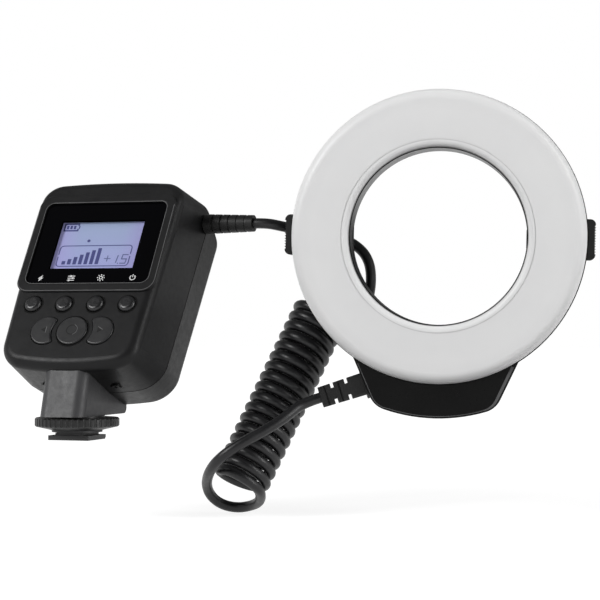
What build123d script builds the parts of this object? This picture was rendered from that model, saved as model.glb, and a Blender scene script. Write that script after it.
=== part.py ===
"""Macro ring flash: a control unit on a shoe foot, a curly cord and a ring head with two release buttons.

Millimetres, +Z up. The origin is the centre of the underside of the shoe foot's plate, the display looks
towards -Y and the ring head hangs at +X on its cord.
"""
from math import atan2, cos, degrees, pi, radians, sin, sqrt, tan
import os

from build123d import *

os.makedirs("parts", exist_ok=True)

# Clearances and one overrun for every cut
overrun = 1.0
loose = 0.3
running = 0.08
seat_gap = 0.1

# Control unit: the plane of its face leans back, and its heights run up the face from the foot's level
face_lean = 33.2
face_setback = 35.55
parting_depth = 28.0
unit_depth = 47.0
wall = 2.2

# Outline of the unit at its face, with its widths, heights and corners
face_half_top = 34.6
face_half_low = 31.4
face_crown = 134.6
face_shoulder = 132.8
face_sole = 36.6
face_heel = 40.4
face_corner_top = 10.0
face_corner_low = 11.0
face_roll = 4.3
# How much the outline grows from the face to the parting line, and draws in from there to the back
flare_side = 2.3
flare_crown = 10.2
flare_sole = 4.6
draw_side = 1.0
draw_crown = 4.0
draw_sole = 4.8
back_roll = 4.4
parting_groove = 0.25

# Raised frame, window and display
window_width = 58.4
window_height = 43.2
window_height_up = 101.0
window_corner = 3.6
window_thickness = 1.2
window_recess = 0.15
rim_width = 65.6
rim_height = 51.6
rim_rise = 0.9
rim_corner = 6.0
rim_round = 0.42
display_width = 39.8
display_height = 25.5
display_height_up = window_height_up
display_rim = 1.45
panel_margin = 3.2
panel_thickness = 1.8

# Push buttons on the face
button_pitch = 14.73
button_row_drop = 6.1
button_row_up = window_height_up - rim_height / 2 - button_row_drop
button_hole = 4.2
set_hole = 7.3
set_drop = 13.7
set_up = button_row_up - set_drop
leaf_hole = 7.2
leaf_offset = 12.3
leaf_bite = 9.3
leaf_corner = 1.0
button_gap = 0.32
button_rise = 1.5
button_dome = 1.7
key_rise = 0.7
key_round = 0.6
flange_reach = 0.7
flange_thickness = 0.8
plunger_radius = 1.5
button_travel = 0.6

# Main board, its switches, posts and screws
board_depth = 8.5
board_thickness = 1.6
board_half = 29.8
board_low = 52.0
board_high = 124.0
switch_size = 6.0
switch_body = 3.2
switch_nub_radius = 1.7
switch_slack = 0.1
post_radius = 2.2
post_out = 28.0
post_low = 76.6
post_high = 120.6
boss_radius = 3.4
boss_out = 27.0
boss_low = 55.6
boss_high = 134.2
case_screw_radius = 1.2
case_screw_length = 18.0
case_screw_head = 2.3
case_screw_head_height = 1.7
small_screw_radius = 0.8
small_screw_length = 5.0
small_screw_head = 1.8
small_screw_head_height = 1.1
recess_slot = 0.5

# Battery door, tray and cells
door_thickness = 2.0
door_width = 61.6
door_foot = 66.0
door_head = 128.0
door_travel = 6.0
door_gap = 0.15
door_ledge = 1.5
door_tongue = 0.8
door_tongue_depth = 0.8
door_rib_pitch = 2.4
door_rib_height = 0.5
cell_radius = 7.25
cell_length = 49.3
nub_radius = 2.7
nub_length = 1.2
cell_count = 4
cell_gap = 0.2
contact_thickness = 0.4
contact_width = 9.0
cell_spring_length = 6.0
cell_spring_radius = 4.2
tray_wall = 1.2
tray_floor = 1.4
tray_side_share = 0.55

# Neck, shoe foot and locking wheel
neck_half = 10.25
neck_front = 18.2
neck_rear = 28.4
neck_bottom = 10.2
neck_lean = 17.0
neck_reach = 40.0
neck_corner = 4.6
neck_tail_corner = 2.6
shoe_width = 18.6
shoe_length = 17.8
shoe_thickness = 2.0
shoe_lead = 0.9
tongue_width = 12.5
tongue_length = 16.6
tongue_thickness = 1.1
stem_radius = 4.9
stem_socket = 4.0
washer_radius = 10.8
washer_thickness = 0.8
washer_rise = 0.2
wheel_radius = 18.0
wheel_hub = 11.2
wheel_rim_low = 5.6
wheel_top = 9.4
wheel_chamfer = 0.5
wheel_ribs = 46
wheel_rib_radius = 0.75
wheel_rib_share = 0.45
collar_radius = 11.8
collar_drop = 1.05
collar_recess = 1.0
pin_radius = 1.3
pin_flange = 2.3
pin_flange_thickness = 0.8
pin_proud = 0.5
pin_floor = 1.2
pin_well = 2.5
pin_well_top = 9.0
pin_spring_wall = 0.6
underside_screw_out = 16.5
underside_screw_depth = 21.0
underside_recess = 2.6
underside_recess_depth = 1.3

# Strain relief of the unit, at its right wall
unit_relief_up = 129.0
unit_relief_depth = 25.5
unit_relief_base = 36.6
unit_relief_length = 22.9
relief_base_radius = 4.5
relief_tip_radius = 3.7
relief_neck = 3.1
unit_relief_root = 4.8
relief_flange = 4.4
relief_flange_thickness = 1.6
relief_groove = 1.1
relief_groove_depth = 0.9
relief_grooves = 5

# Ring head: the centre of its front, the way it faces and its roll
ring_x = 145.5
ring_y = 50.6
ring_z = 86.9
ring_yaw = 12.6
ring_roll = 1.3
head_depth = 22.0
head_radius = 64.0
bore_radius = 38.0
tube_wall = 1.4
tube_front = 3.2
diffuser_radius = 63.5
diffuser_bore = 38.35
diffuser_depth = 9.0
diffuser_wall = 1.8
diffuser_round = 4.6
diffuser_lip_round = 2.6
diffuser_skirt = 1.7
groove_inset = 3.1
groove_width = 0.4
groove_depth = 0.2
head_wall = 2.0
web_depth = 13.2
web_thickness = 1.2
cover_thickness = 2.0
cover_bore = 39.0
cover_edge = 0.6
led_board_inner = 41.7
led_board_outer = 56.6
led_board_thickness = 1.6
led_count = 48
led_radius = 2.5
led_height = 5.0
led_circle = 49.0
reflector_inner = 41.9
reflector_outer = 56.9
reflector_thickness = 1.0
reflector_rise = 5.2
led_hole_gap = 0.2
head_boss_radius = 2.6
head_boss_circle = 53.0
head_boss_turn = 45.0

# Block under the ring, as half widths and drops from the ring's centre
block_half_top = 38.3
block_top = 47.0
block_half_low = 26.3
block_heel = 73.4
block_sole = 78.3
block_corner = 10.0
block_front = 4.0
block_round = 1.0
block_boss_out = 20.0
block_boss_drop = 68.4
driver_width = 42.0
driver_height = 8.0
driver_drop = 68.6
driver_depth = 11.0
driver_thickness = 1.6
coil_part_radius = 3.0
coil_part_height = 3.5
chip_size = 5.0
chip_height = 1.6
chip_spread = 11.0

# Release buttons and their latch rings, which slide across the ring
release_height = 17.6
release_front = 10.6
release_depth = 8.0
release_outer = 67.2
release_inner = 59.6
release_travel = 2.2
release_corner = 2.4
release_knurl = 0.45
release_knurls = 11
latch_inner = 42.3
latch_outer = 45.8
latch_thickness = 1.2
latch_arm = 12.0
latch_catch = 8.0
latch_bite = 0.4
left_latch_depth = 15.2
right_latch_depth = 17.2
latch_spring_radius = 1.3
latch_spring_length = 13.6

# Strain relief of the ring head, from the block's left wall to its tip, in the ring's own frame
head_relief_base = (-30.0, -63.9, -11.0)
head_relief_tip = (-49.6, -70.7, -8.0)
head_relief_root = 5.0
head_relief_height = 9.9
head_relief_depth = 8.0
head_relief_taper = 0.4
head_relief_corner = 1.2
head_collar_height = 13.4
head_collar_depth = 9.6
head_collar_corner = 4.4
head_collar_thickness = 1.5
head_slot_places = (5.4, 11.7)
head_slot_width = 1.5
head_slot_depth = 2.4
side_slot_places = (2.3, 8.5)
side_slot_width = 0.8
side_slot_depth = 1.5

# Curly cord: one cord with a coil between two loose stretches
cord_radius = 2.3
coil_top = Vector(83.9, 78.2, 55.1)
coil_foot = Vector(58.66, 40.0, -20.87)
coil_aside = Vector(0.944, 0.330, 0)
coil_radius = 10.4
coil_turns = 17
coil_first_turn = 0.15
coil_end_run = 2 * cord_radius
unit_lead_length = 6.0
coil_lead_length = 6.0
head_lead_length = 8.6

# Loose stretches of the cord, from the unit to the coil and from the coil to the ring head
upper_route = [
    (70.8, 59.1, 92.8),
    (75.8, 63.2, 91.6),
    (81.1, 67.2, 90.6),
    (87.2, 71.1, 89.6),
    (93.4, 74.4, 88.2),
    (99.1, 76.6, 85.4),
    (104.1, 77.5, 81.2),
    (106.9, 77.4, 75.6),
    (107.6, 76.9, 68.9),
    (106.9, 76.8, 62.4),
    (104.5, 77.6, 56.0),
    (101.4, 79.7, 51.4),
]
lower_route = [
    (58.8, 55.5, -31.3),
    (51.7, 56.2, -32.6),
    (45.3, 53.6, -31.1),
    (41.7, 49.0, -27.0),
    (42.1, 42.5, -21.2),
    (49.7, 27.4, -14.4),
    (55.7, 21.9, -9.2),
    (61.9, 22.0, -4.4),
    (69.2, 25.6, 0.3),
    (76.6, 31.5, 5.0),
    (82.6, 37.6, 10.2),
]
route_share = 0.45

# Planes of the unit's face and of the ring's front
face = Plane(
    origin=(0, -face_setback, 0),
    x_dir=(1, 0, 0),
    z_dir=(0, -cos(radians(face_lean)), sin(radians(face_lean))),
)
face_axis = Axis(face.origin, face.z_dir)
ring = Plane(
    origin=(ring_x, ring_y, ring_z),
    x_dir=(
        cos(radians(ring_yaw)) * cos(radians(ring_roll)),
        sin(radians(ring_yaw)) * cos(radians(ring_roll)),
        -sin(radians(ring_roll)),
    ),
    z_dir=(sin(radians(ring_yaw)), -cos(radians(ring_yaw)), 0),
)
ring_axis = Axis(ring.origin, ring.z_dir)

# Outlines of the unit at three depths, each as half widths, heights and corners
face_shape = (
    face_half_top, face_half_low, face_crown, face_shoulder,
    face_sole, face_heel, face_corner_top, face_corner_low,
)
parting_shape = (
    face_half_top + flare_side, face_half_low + flare_side, face_crown + flare_crown, face_shoulder + flare_crown,
    face_sole + flare_sole, face_heel + flare_sole, face_corner_top + flare_side, face_corner_low + flare_side,
)
back_shape = (
    face_half_top + flare_side - draw_side, face_half_low + flare_side - draw_side,
    face_crown + flare_crown - draw_crown, face_shoulder + flare_crown - draw_crown,
    face_sole + flare_sole + draw_sole, face_heel + flare_sole + draw_sole,
    face_corner_top + flare_side, face_corner_low + flare_side,
)


def unit_section(depth, shape, inset=0):
    """Closed outline of the unit at a depth behind its face, drawn in by the inset."""
    with BuildSketch(face.offset(-depth)) as section:
        add(unit_section_flat(shape, inset))
    return section.sketch


def unit_section_flat(shape, inset):
    """The same outline in its own plane."""
    half_top, half_low, crown, shoulder, sole, heel, corner_top, corner_low = shape
    high = (half_top - inset, shoulder - inset)
    low = (half_low - inset, heel + inset)
    with BuildSketch() as section:
        with BuildLine():
            ThreePointArc((-high[0], high[1]), (0, crown - inset), high)
            Line(high, low)
            ThreePointArc(low, (0, sole + inset), (-low[0], low[1]))
            Line((-low[0], low[1]), (-high[0], high[1]))
        make_face()
        fillet(section.vertices().sort_by(Axis.Y)[-2:], corner_top - inset)
        fillet(section.vertices().sort_by(Axis.Y)[:2], corner_low - inset)
    return section.sketch


def screw_set(plane, places, head, head_height, shank, length):
    """Screws with their heads' tops on the plane at the places, going in along its back."""
    with BuildPart() as screws:
        with BuildSketch(plane):
            with Locations(*places):
                Circle(head)
        extrude(amount=-head_height)
        with BuildSketch(plane.offset(-head_height)):
            with Locations(*places):
                Circle(shank)
        extrude(amount=-length)
        with BuildSketch(plane):
            with Locations(*places):
                Rectangle(2 * head * recess_slot, head * recess_slot / 2)
                Rectangle(head * recess_slot / 2, 2 * head * recess_slot)
        extrude(amount=-head_height * recess_slot, mode=Mode.SUBTRACT)
    return screws


# Solid forms of the unit's two halves, which the shells and the neck are cut by
with BuildPart() as front_form:
    loft([unit_section(0, face_shape), unit_section(parting_depth, parting_shape)])
    fillet(front_form.faces().sort_by(face_axis)[-1].edges(), face_roll)

with BuildPart() as front_cavity:
    loft([unit_section(wall, face_shape, wall), unit_section(parting_depth, parting_shape, wall)])

with BuildPart() as rear_form:
    loft([unit_section(parting_depth, parting_shape), unit_section(unit_depth, back_shape)])
    fillet(rear_form.faces().sort_by(face_axis)[0].edges(), back_roll)

with BuildPart() as rear_cavity:
    loft([unit_section(parting_depth, parting_shape, wall), unit_section(unit_depth - wall, back_shape, wall)])

# Fine groove round the line where the two halves meet
with BuildPart() as groove_form:
    with BuildSketch(face.offset(-parting_depth)):
        add(unit_section_flat(parting_shape, -overrun))
        add(unit_section_flat(parting_shape, parting_groove), mode=Mode.SUBTRACT)
    extrude(amount=parting_groove, both=True)

boss_places = [(side * boss_out, height) for side in (-1, 1) for height in (boss_low, boss_high)]
post_places = [(side * post_out, height) for side in (-1, 1) for height in (post_low, post_high)]
round_places = [(button_pitch * (i - 1.5), button_row_up) for i in range(4)]
panel_width = display_width + 2 * panel_margin
panel_height = display_height + 2 * panel_margin
board_back = board_depth + board_thickness
relief_seat = face.from_local_coords(Vector(0, unit_relief_up, -unit_relief_depth))
relief_plane = Plane(origin=(0, relief_seat.Y, relief_seat.Z), x_dir=(0, 1, 0), z_dir=(1, 0, 0))

# Plane of the unit's underside, which slopes back from the face's lower edge
underside_slope = degrees(atan2(flare_sole, parting_depth))
underside = Plane(
    origin=face.from_local_coords(Vector(0, face_sole, 0)),
    x_dir=(-1, 0, 0),
    z_dir=face.from_local_coords(
        Vector(0, -cos(radians(underside_slope)), -sin(radians(underside_slope)))
    ) - face.origin,
)
underside_places = [(side * underside_screw_out, underside_screw_depth) for side in (-1, 1)]

# Screw bosses of the two halves, kept inside the outer form
with BuildPart() as front_boss_form:
    with BuildSketch(face.offset(-wall / 2)):
        with Locations(*boss_places):
            Circle(boss_radius)
    extrude(amount=-(parting_depth - wall / 2))
    add(front_form.part, mode=Mode.INTERSECT)

with BuildPart() as rear_boss_form:
    with BuildSketch(face.offset(-parting_depth)):
        with Locations(*boss_places):
            Circle(boss_radius)
    extrude(amount=-(unit_depth - parting_depth))
    add(rear_form.part, mode=Mode.INTERSECT)

# Raised frame round the window, rounded on top
with BuildPart() as rim_form:
    with BuildSketch(face.offset(-wall / 2)):
        with Locations((0, window_height_up)):
            RectangleRounded(rim_width, rim_height, rim_corner)
            RectangleRounded(
                window_width + 2 * seat_gap, window_height + 2 * seat_gap, window_corner, mode=Mode.SUBTRACT
            )
    extrude(amount=wall / 2 + rim_rise)
    fillet(rim_form.faces().sort_by(face_axis)[-1].edges(), rim_round)


def leaf_sketch(side, grow):
    """Leaf-shaped key beside the round one: a disc bitten by a larger one, grown by the amount."""
    with BuildSketch(face) as leaf:
        with Locations((side * leaf_offset, set_up)):
            Circle(leaf_hole + grow)
        with Locations((0, set_up)):
            Circle(leaf_bite - grow, mode=Mode.SUBTRACT)
        inner = leaf.vertices().sort_by(Axis.X)
        fillet(inner[-2:] if side < 0 else inner[:2], leaf_corner)
    return leaf.sketch


# Front shell, with the window's seat, the keys' holes, board posts and screw bosses
with BuildPart() as front_shell:
    add(front_form.part)
    add(front_cavity.part, mode=Mode.SUBTRACT)
    add(groove_form.part, mode=Mode.SUBTRACT)
    add(rim_form.part)
    with BuildSketch(face.offset(rim_rise)):
        with Locations((0, window_height_up)):
            RectangleRounded(window_width + 2 * seat_gap, window_height + 2 * seat_gap, window_corner)
    extrude(amount=-(rim_rise + window_recess + window_thickness), mode=Mode.SUBTRACT)
    with BuildSketch(face):
        with Locations((0, display_height_up)):
            Rectangle(display_width + 2 * display_rim, display_height + 2 * display_rim)
    extrude(amount=-(wall + overrun), mode=Mode.SUBTRACT)
    with BuildSketch(face.offset(overrun)):
        with Locations(*round_places):
            Circle(button_hole)
        with Locations((0, set_up)):
            Circle(set_hole)
    extrude(amount=-(wall + 2 * overrun), mode=Mode.SUBTRACT)
    for side in (-1, 1):
        extrude(leaf_sketch(side, 0), amount=overrun, mode=Mode.SUBTRACT)
        extrude(leaf_sketch(side, 0), amount=-(wall + overrun), mode=Mode.SUBTRACT)
    with BuildSketch(face.offset(-wall / 2 - window_thickness / 2)):
        with Locations(*post_places):
            Circle(post_radius)
    extrude(amount=-(board_depth - wall / 2 - window_thickness / 2))
    add(front_boss_form.part)
    with BuildSketch(face.offset(-parting_depth)):
        with Locations(*boss_places):
            Circle(case_screw_radius + seat_gap)
    extrude(amount=case_screw_length, mode=Mode.SUBTRACT)
    with BuildSketch(face.offset(-board_depth)):
        with Locations(*post_places):
            Circle(small_screw_radius + seat_gap)
    extrude(amount=small_screw_length, mode=Mode.SUBTRACT)
    with BuildSketch(relief_plane.offset(face_half_low)):
        Circle(relief_neck + seat_gap)
    extrude(amount=2 * wall + face_half_top - face_half_low + flare_side, mode=Mode.SUBTRACT)
    with BuildSketch(underside):
        with Locations(*underside_places):
            Circle(underside_recess)
    extrude(amount=-underside_recess_depth, mode=Mode.SUBTRACT)
    with BuildSketch(underside):
        with Locations(*underside_places):
            Circle(small_screw_radius + seat_gap)
    extrude(amount=-(wall + overrun), mode=Mode.SUBTRACT)

front_shell.part.label = "front_shell"
export_step(front_shell.part, "parts/front_shell.step")

# Battery door's opening, its ledge and the grooves that the door slides in
door_height = door_head - door_foot
recess_middle = (door_head + door_foot - door_travel) / 2
recess_height = door_height + door_travel + 2 * door_gap
recess_width = door_width + 2 * door_gap
tray_length = cell_length + nub_length + cell_spring_length + 2 * contact_thickness + seat_gap
tray_width = cell_count * 2 * cell_radius + (cell_count + 1) * cell_gap
tray_middle = (door_foot + door_head) / 2

with BuildPart() as door_ledge_form:
    with BuildSketch(face.offset(-unit_depth)):
        with Locations((0, recess_middle)):
            Rectangle(recess_width + 2 * wall, recess_height + 2 * wall)
    extrude(amount=door_thickness + door_ledge)
    add(rear_form.part, mode=Mode.INTERSECT)

with BuildPart() as rear_shell:
    add(rear_form.part)
    add(rear_cavity.part, mode=Mode.SUBTRACT)
    add(groove_form.part, mode=Mode.SUBTRACT)
    add(door_ledge_form.part)
    with BuildSketch(face.offset(-unit_depth)):
        with Locations((0, recess_middle)):
            Rectangle(recess_width, recess_height)
    extrude(amount=door_thickness, mode=Mode.SUBTRACT)
    with BuildSketch(face.offset(-unit_depth + door_tongue_depth - door_gap)):
        with Locations((0, recess_middle)):
            Rectangle(recess_width + 2 * door_tongue, recess_height)
    extrude(amount=door_tongue + 2 * door_gap, mode=Mode.SUBTRACT)
    with BuildSketch(face.offset(-unit_depth)):
        with Locations((0, tray_middle)):
            Rectangle(tray_width + 2 * seat_gap, tray_length + 2 * seat_gap)
    extrude(amount=door_thickness + door_ledge + overrun, mode=Mode.SUBTRACT)
    add(rear_boss_form.part)
    with BuildSketch(face.offset(-unit_depth)):
        with Locations(*boss_places):
            Circle(case_screw_head + loose)
    extrude(amount=case_screw_head_height + wall, mode=Mode.SUBTRACT)
    with BuildSketch(face.offset(-unit_depth)):
        with Locations(*boss_places):
            Circle(case_screw_radius + seat_gap)
    extrude(amount=unit_depth - parting_depth, mode=Mode.SUBTRACT)
    with BuildSketch(relief_plane.offset(face_half_low)):
        Circle(relief_neck + seat_gap)
    extrude(amount=2 * wall + face_half_top - face_half_low + flare_side, mode=Mode.SUBTRACT)

rear_shell.part.label = "rear_shell"
export_step(rear_shell.part, "parts/rear_shell.step")

# Case screws, from the back through the rear shell's bosses
case_screws = screw_set(
    Plane(
        origin=face.from_local_coords(Vector(0, 0, -(unit_depth - wall))),
        x_dir=(1, 0, 0),
        z_dir=-face.z_dir,
    ),
    [(x, -y) for x, y in boss_places],
    case_screw_head, case_screw_head_height, case_screw_radius, case_screw_length,
)
case_screws.part.label = "case_screws"
export_step(case_screws.part, "parts/case_screws.step")

underside_screws = screw_set(
    underside.offset(-(underside_recess_depth - small_screw_head_height)),
    underside_places,
    small_screw_head, small_screw_head_height, small_screw_radius, small_screw_length,
)
underside_screws.part.label = "underside_screws"
export_step(underside_screws.part, "parts/underside_screws.step")

# Window of the display
with BuildPart() as display_window:
    with BuildSketch(face.offset(-window_recess)):
        with Locations((0, window_height_up)):
            RectangleRounded(window_width, window_height, window_corner)
    extrude(amount=-window_thickness)
    chamfer(display_window.faces().sort_by(face_axis)[-1].edges(), window_recess)

display_window.part.label = "display_window"
export_step(display_window.part, "parts/display_window.step")

# Display panel and the light guide behind it, down to the board
with BuildPart() as display_panel:
    with BuildSketch(face.offset(-wall - seat_gap)):
        with Locations((0, display_height_up)):
            Rectangle(panel_width, panel_height)
    extrude(amount=-panel_thickness)

display_panel.part.label = "display_panel"
export_step(display_panel.part, "parts/display_panel.step")

guide_front = wall + 2 * seat_gap + panel_thickness
with BuildPart() as light_guide:
    with BuildSketch(face.offset(-guide_front)):
        with Locations((0, display_height_up)):
            Rectangle(panel_width, panel_height)
    extrude(amount=-(board_depth - guide_front))

light_guide.part.label = "light_guide"
export_step(light_guide.part, "parts/light_guide.step")

# Main board, notched round the case bosses
with BuildPart() as main_board:
    with BuildSketch(face.offset(-board_depth)):
        with Locations((0, (board_low + board_high) / 2)):
            Rectangle(2 * board_half, board_high - board_low)
        with Locations(*boss_places):
            Circle(boss_radius + loose, mode=Mode.SUBTRACT)
        with Locations(*post_places):
            Circle(small_screw_radius + seat_gap, mode=Mode.SUBTRACT)
    extrude(amount=-board_thickness)

main_board.part.label = "main_board"
export_step(main_board.part, "parts/main_board.step")

board_screws = screw_set(
    Plane(
        origin=face.from_local_coords(Vector(0, 0, -(board_back + small_screw_head_height))),
        x_dir=(1, 0, 0),
        z_dir=-face.z_dir,
    ),
    [(x, -y) for x, y in post_places],
    small_screw_head, small_screw_head_height, small_screw_radius, small_screw_length,
)
board_screws.part.label = "board_screws"
export_step(board_screws.part, "parts/board_screws.step")

# Tact switches on the board, one behind each button
key_places = round_places + [(0, set_up), (-leaf_offset, set_up), (leaf_offset, set_up)]
flange_front = wall + loose
plunger_end = flange_front + flange_thickness + switch_slack
nub_front = plunger_end + button_travel + switch_slack
switch_front = board_depth - switch_body
with BuildPart() as tact_switches:
    with BuildSketch(face.offset(-switch_front)):
        with Locations(*key_places):
            RectangleRounded(switch_size, switch_size, switch_slack)
    extrude(amount=-switch_body)
    with BuildSketch(face.offset(-nub_front)):
        with Locations(*key_places):
            Circle(switch_nub_radius)
    extrude(amount=-(switch_front - nub_front))

tact_switches.part.label = "tact_switches"
export_step(tact_switches.part, "parts/tact_switches.step")

# Four round buttons in a row, each with a domed cap, a flange behind the shell and a plunger
button_names = ("pilot_button", "mode_button", "light_button", "power_button")
for button_name, place in zip(button_names, round_places):
    with BuildPart() as round_button:
        with BuildSketch(face.offset(button_rise)):
            with Locations(place):
                Circle(button_hole - button_gap)
        extrude(amount=-(button_rise + flange_front))
        fillet(round_button.faces().sort_by(face_axis)[-1].edges(), button_dome)
        with BuildSketch(face.offset(-flange_front)):
            with Locations(place):
                Circle(button_hole + flange_reach)
        extrude(amount=-flange_thickness)
        with BuildSketch(face.offset(-flange_front)):
            with Locations(place):
                Circle(plunger_radius)
        extrude(amount=-(plunger_end - flange_front))
    round_button.part.label = button_name
    export_step(round_button.part, f"parts/{button_name}.step")

# Round key in the middle, with a raised dot
with BuildPart() as set_button:
    with BuildSketch(face.offset(key_rise)):
        with Locations((0, set_up)):
            Circle(set_hole - button_gap)
    extrude(amount=-(key_rise + flange_front))
    fillet(set_button.faces().sort_by(face_axis)[-1].edges(), key_round)
    with BuildSketch(face.offset(-flange_front)):
        with Locations((0, set_up)):
            Circle(set_hole + button_gap)
    extrude(amount=-flange_thickness)
    with BuildSketch(face.offset(-flange_front)):
        with Locations((0, set_up)):
            Circle(plunger_radius)
    extrude(amount=-(plunger_end - flange_front))

set_button.part.label = "set_button"
export_step(set_button.part, "parts/set_button.step")

# Leaf-shaped keys at both sides
for side, key_name in ((-1, "left_button"), (1, "right_button")):
    with BuildPart() as leaf_button:
        extrude(leaf_sketch(side, -button_gap), amount=key_rise)
        extrude(leaf_sketch(side, -button_gap), amount=-flange_front)
        fillet(leaf_button.faces().sort_by(face_axis)[-1].edges(), key_round)
        with BuildSketch(face.offset(-flange_front)):
            with Locations((side * leaf_offset, set_up)):
                Circle(leaf_hole + button_gap)
            with Locations((0, set_up)):
                Circle(leaf_bite - button_gap, mode=Mode.SUBTRACT)
        extrude(amount=-flange_thickness)
        with BuildSketch(face.offset(-flange_front)):
            with Locations((side * leaf_offset, set_up)):
                Circle(plunger_radius)
        extrude(amount=-(plunger_end - flange_front))
    leaf_button.part.label = key_name
    export_step(leaf_button.part, f"parts/{key_name}.step")

# Battery door, with a tongue along each side and finger ribs at its foot
with BuildPart() as battery_door:
    with BuildSketch(face.offset(-unit_depth)):
        with Locations((0, tray_middle)):
            Rectangle(door_width, door_height)
    extrude(amount=door_thickness - door_gap)
    with BuildSketch(face.offset(-unit_depth + door_tongue_depth)):
        with Locations((0, tray_middle)):
            Rectangle(door_width + 2 * (door_tongue - door_gap), door_height)
    extrude(amount=door_tongue)
    with BuildSketch(face.offset(-unit_depth)):
        with Locations(*[(0, door_foot + door_rib_pitch * (i + 1)) for i in range(5)]):
            Rectangle(door_width / 2, door_rib_pitch / 2)
    extrude(amount=-door_rib_height)

battery_door.part.label = "battery_door"
export_step(battery_door.part, "parts/battery_door.step")

# Battery tray, four cells side by side, their plates and springs
cell_depth = unit_depth - door_thickness - loose - cell_radius
tray_floor_depth = cell_depth - cell_radius - cell_gap
tray_back = unit_depth - door_thickness - door_ledge - seat_gap
tray_foot = tray_middle - tray_length / 2
tray_head = tray_middle + tray_length / 2
with BuildPart() as battery_tray:
    with BuildSketch(face.offset(-(tray_floor_depth - tray_floor))):
        with Locations((0, tray_middle)):
            Rectangle(tray_width + 2 * tray_wall, tray_length + 2 * tray_wall)
    extrude(amount=-(tray_back - tray_floor_depth + tray_floor))
    with BuildSketch(face.offset(-tray_floor_depth)):
        with Locations((0, tray_middle)):
            Rectangle(tray_width, tray_length)
    extrude(amount=-(tray_back - tray_floor_depth), mode=Mode.SUBTRACT)
    with BuildSketch(face.offset(-(tray_floor_depth + cell_radius * 2 * tray_side_share))):
        with Locations((0, tray_middle)):
            Rectangle(tray_width + 2 * tray_wall + overrun, tray_length)
    extrude(amount=-(tray_back - tray_floor_depth), mode=Mode.SUBTRACT)

battery_tray.part.label = "battery_tray"
export_step(battery_tray.part, "parts/battery_tray.step")

cell_pitch = 2 * cell_radius + cell_gap
cell_places = [(i - (cell_count - 1) / 2) * cell_pitch for i in range(cell_count)]
cell_level = Plane(
    origin=face.from_local_coords(Vector(0, tray_foot, -cell_depth)),
    x_dir=(1, 0, 0),
    z_dir=face.y_dir,
)
cell_top_plane = Plane(
    origin=face.from_local_coords(Vector(0, tray_head, -cell_depth)),
    x_dir=(1, 0, 0),
    z_dir=-face.y_dir,
)
cell_ends = [cell_level, cell_top_plane] * (cell_count // 2)

with BuildPart() as aa_cells:
    for place, end in zip(cell_places, cell_ends):
        with BuildSketch(end.offset(contact_thickness + cell_spring_length)):
            with Locations((place, 0)):
                Circle(cell_radius)
        extrude(amount=cell_length)
        with BuildSketch(end.offset(contact_thickness + cell_spring_length + cell_length)):
            with Locations((place, 0)):
                Circle(nub_radius)
        extrude(amount=nub_length)

aa_cells.part.label = "aa_cells"
export_step(aa_cells.part, "parts/aa_cells.step")

with BuildPart() as battery_contacts:
    for end in (cell_level, cell_top_plane):
        with BuildSketch(end):
            with Locations(*[(place, 0) for place in cell_places]):
                Rectangle(contact_width, contact_width)
        extrude(amount=contact_thickness)

battery_contacts.part.label = "battery_contacts"
export_step(battery_contacts.part, "parts/battery_contacts.step")

with BuildPart() as battery_springs:
    for place, end in zip(cell_places, cell_ends):
        with BuildSketch(end.offset(contact_thickness)) as spring_foot:
            with Locations((place, 0)):
                Circle(cell_spring_radius)
        with BuildSketch(end.offset(contact_thickness + cell_spring_length)) as spring_head:
            with Locations((place, 0)):
                Circle(cell_spring_radius / 2)
        loft()

battery_springs.part.label = "battery_springs"
export_step(battery_springs.part, "parts/battery_springs.step")

# Neck under the unit: its side profile, cut to the unit's own underside
with BuildPart() as foot_neck:
    with BuildSketch(Plane.YZ.offset(-neck_half)):
        with BuildLine():
            Polyline(
                (-neck_front, neck_bottom),
                (neck_rear, neck_bottom),
                (neck_rear, neck_bottom + neck_reach),
                (-neck_front + neck_reach * tan(radians(neck_lean)), neck_bottom + neck_reach),
                close=True,
            )
        make_face()
    extrude(amount=2 * neck_half)
    fillet(foot_neck.edges().filter_by(lambda e: e.center().Y < 0 and abs(e.center().X) > neck_half / 2)
           .filter_by(lambda e: e.length > neck_reach / 2), neck_corner)
    fillet(foot_neck.edges().filter_by(Axis.X).sort_by(Axis.Z)[:2].sort_by(Axis.Y)[-1], neck_tail_corner)
    add(front_form.part, mode=Mode.SUBTRACT)
    add(rear_form.part, mode=Mode.SUBTRACT)
    with BuildSketch(Plane.XY.offset(neck_bottom)):
        Circle(stem_radius + seat_gap)
    extrude(amount=stem_socket, mode=Mode.SUBTRACT)
    foot_neck.part = Part(foot_neck.solids().sort_by(Axis.Z)[0].wrapped)

foot_neck.part.label = "foot_neck"
export_step(foot_neck.part, "parts/foot_neck.step")

# Shoe foot: plate, tongue and the stem that the locking wheel turns on
tongue_top = shoe_thickness + tongue_thickness
with BuildPart() as shoe_foot:
    with BuildSketch(Plane.XY):
        Rectangle(shoe_width, shoe_length)
    extrude(amount=shoe_thickness)
    chamfer(shoe_foot.faces().sort_by(Axis.Z)[0].edges().sort_by(Axis.Y)[-1], shoe_lead)
    with BuildSketch(Plane.XY.offset(shoe_thickness)):
        Rectangle(tongue_width, tongue_length)
    extrude(amount=tongue_thickness)
    with BuildSketch(Plane.XY.offset(tongue_top)):
        Circle(stem_radius)
    extrude(amount=neck_bottom + stem_socket - tongue_top)
    with BuildSketch(Plane.XY.offset(-overrun)):
        Circle(pin_radius + running)
    extrude(amount=pin_floor + 2 * overrun, mode=Mode.SUBTRACT)
    with BuildSketch(Plane.XY.offset(pin_floor)):
        Circle(pin_well)
    extrude(amount=pin_well_top - pin_floor, mode=Mode.SUBTRACT)

shoe_foot.part.label = "shoe_foot"
export_step(shoe_foot.part, "parts/shoe_foot.step")

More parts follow.
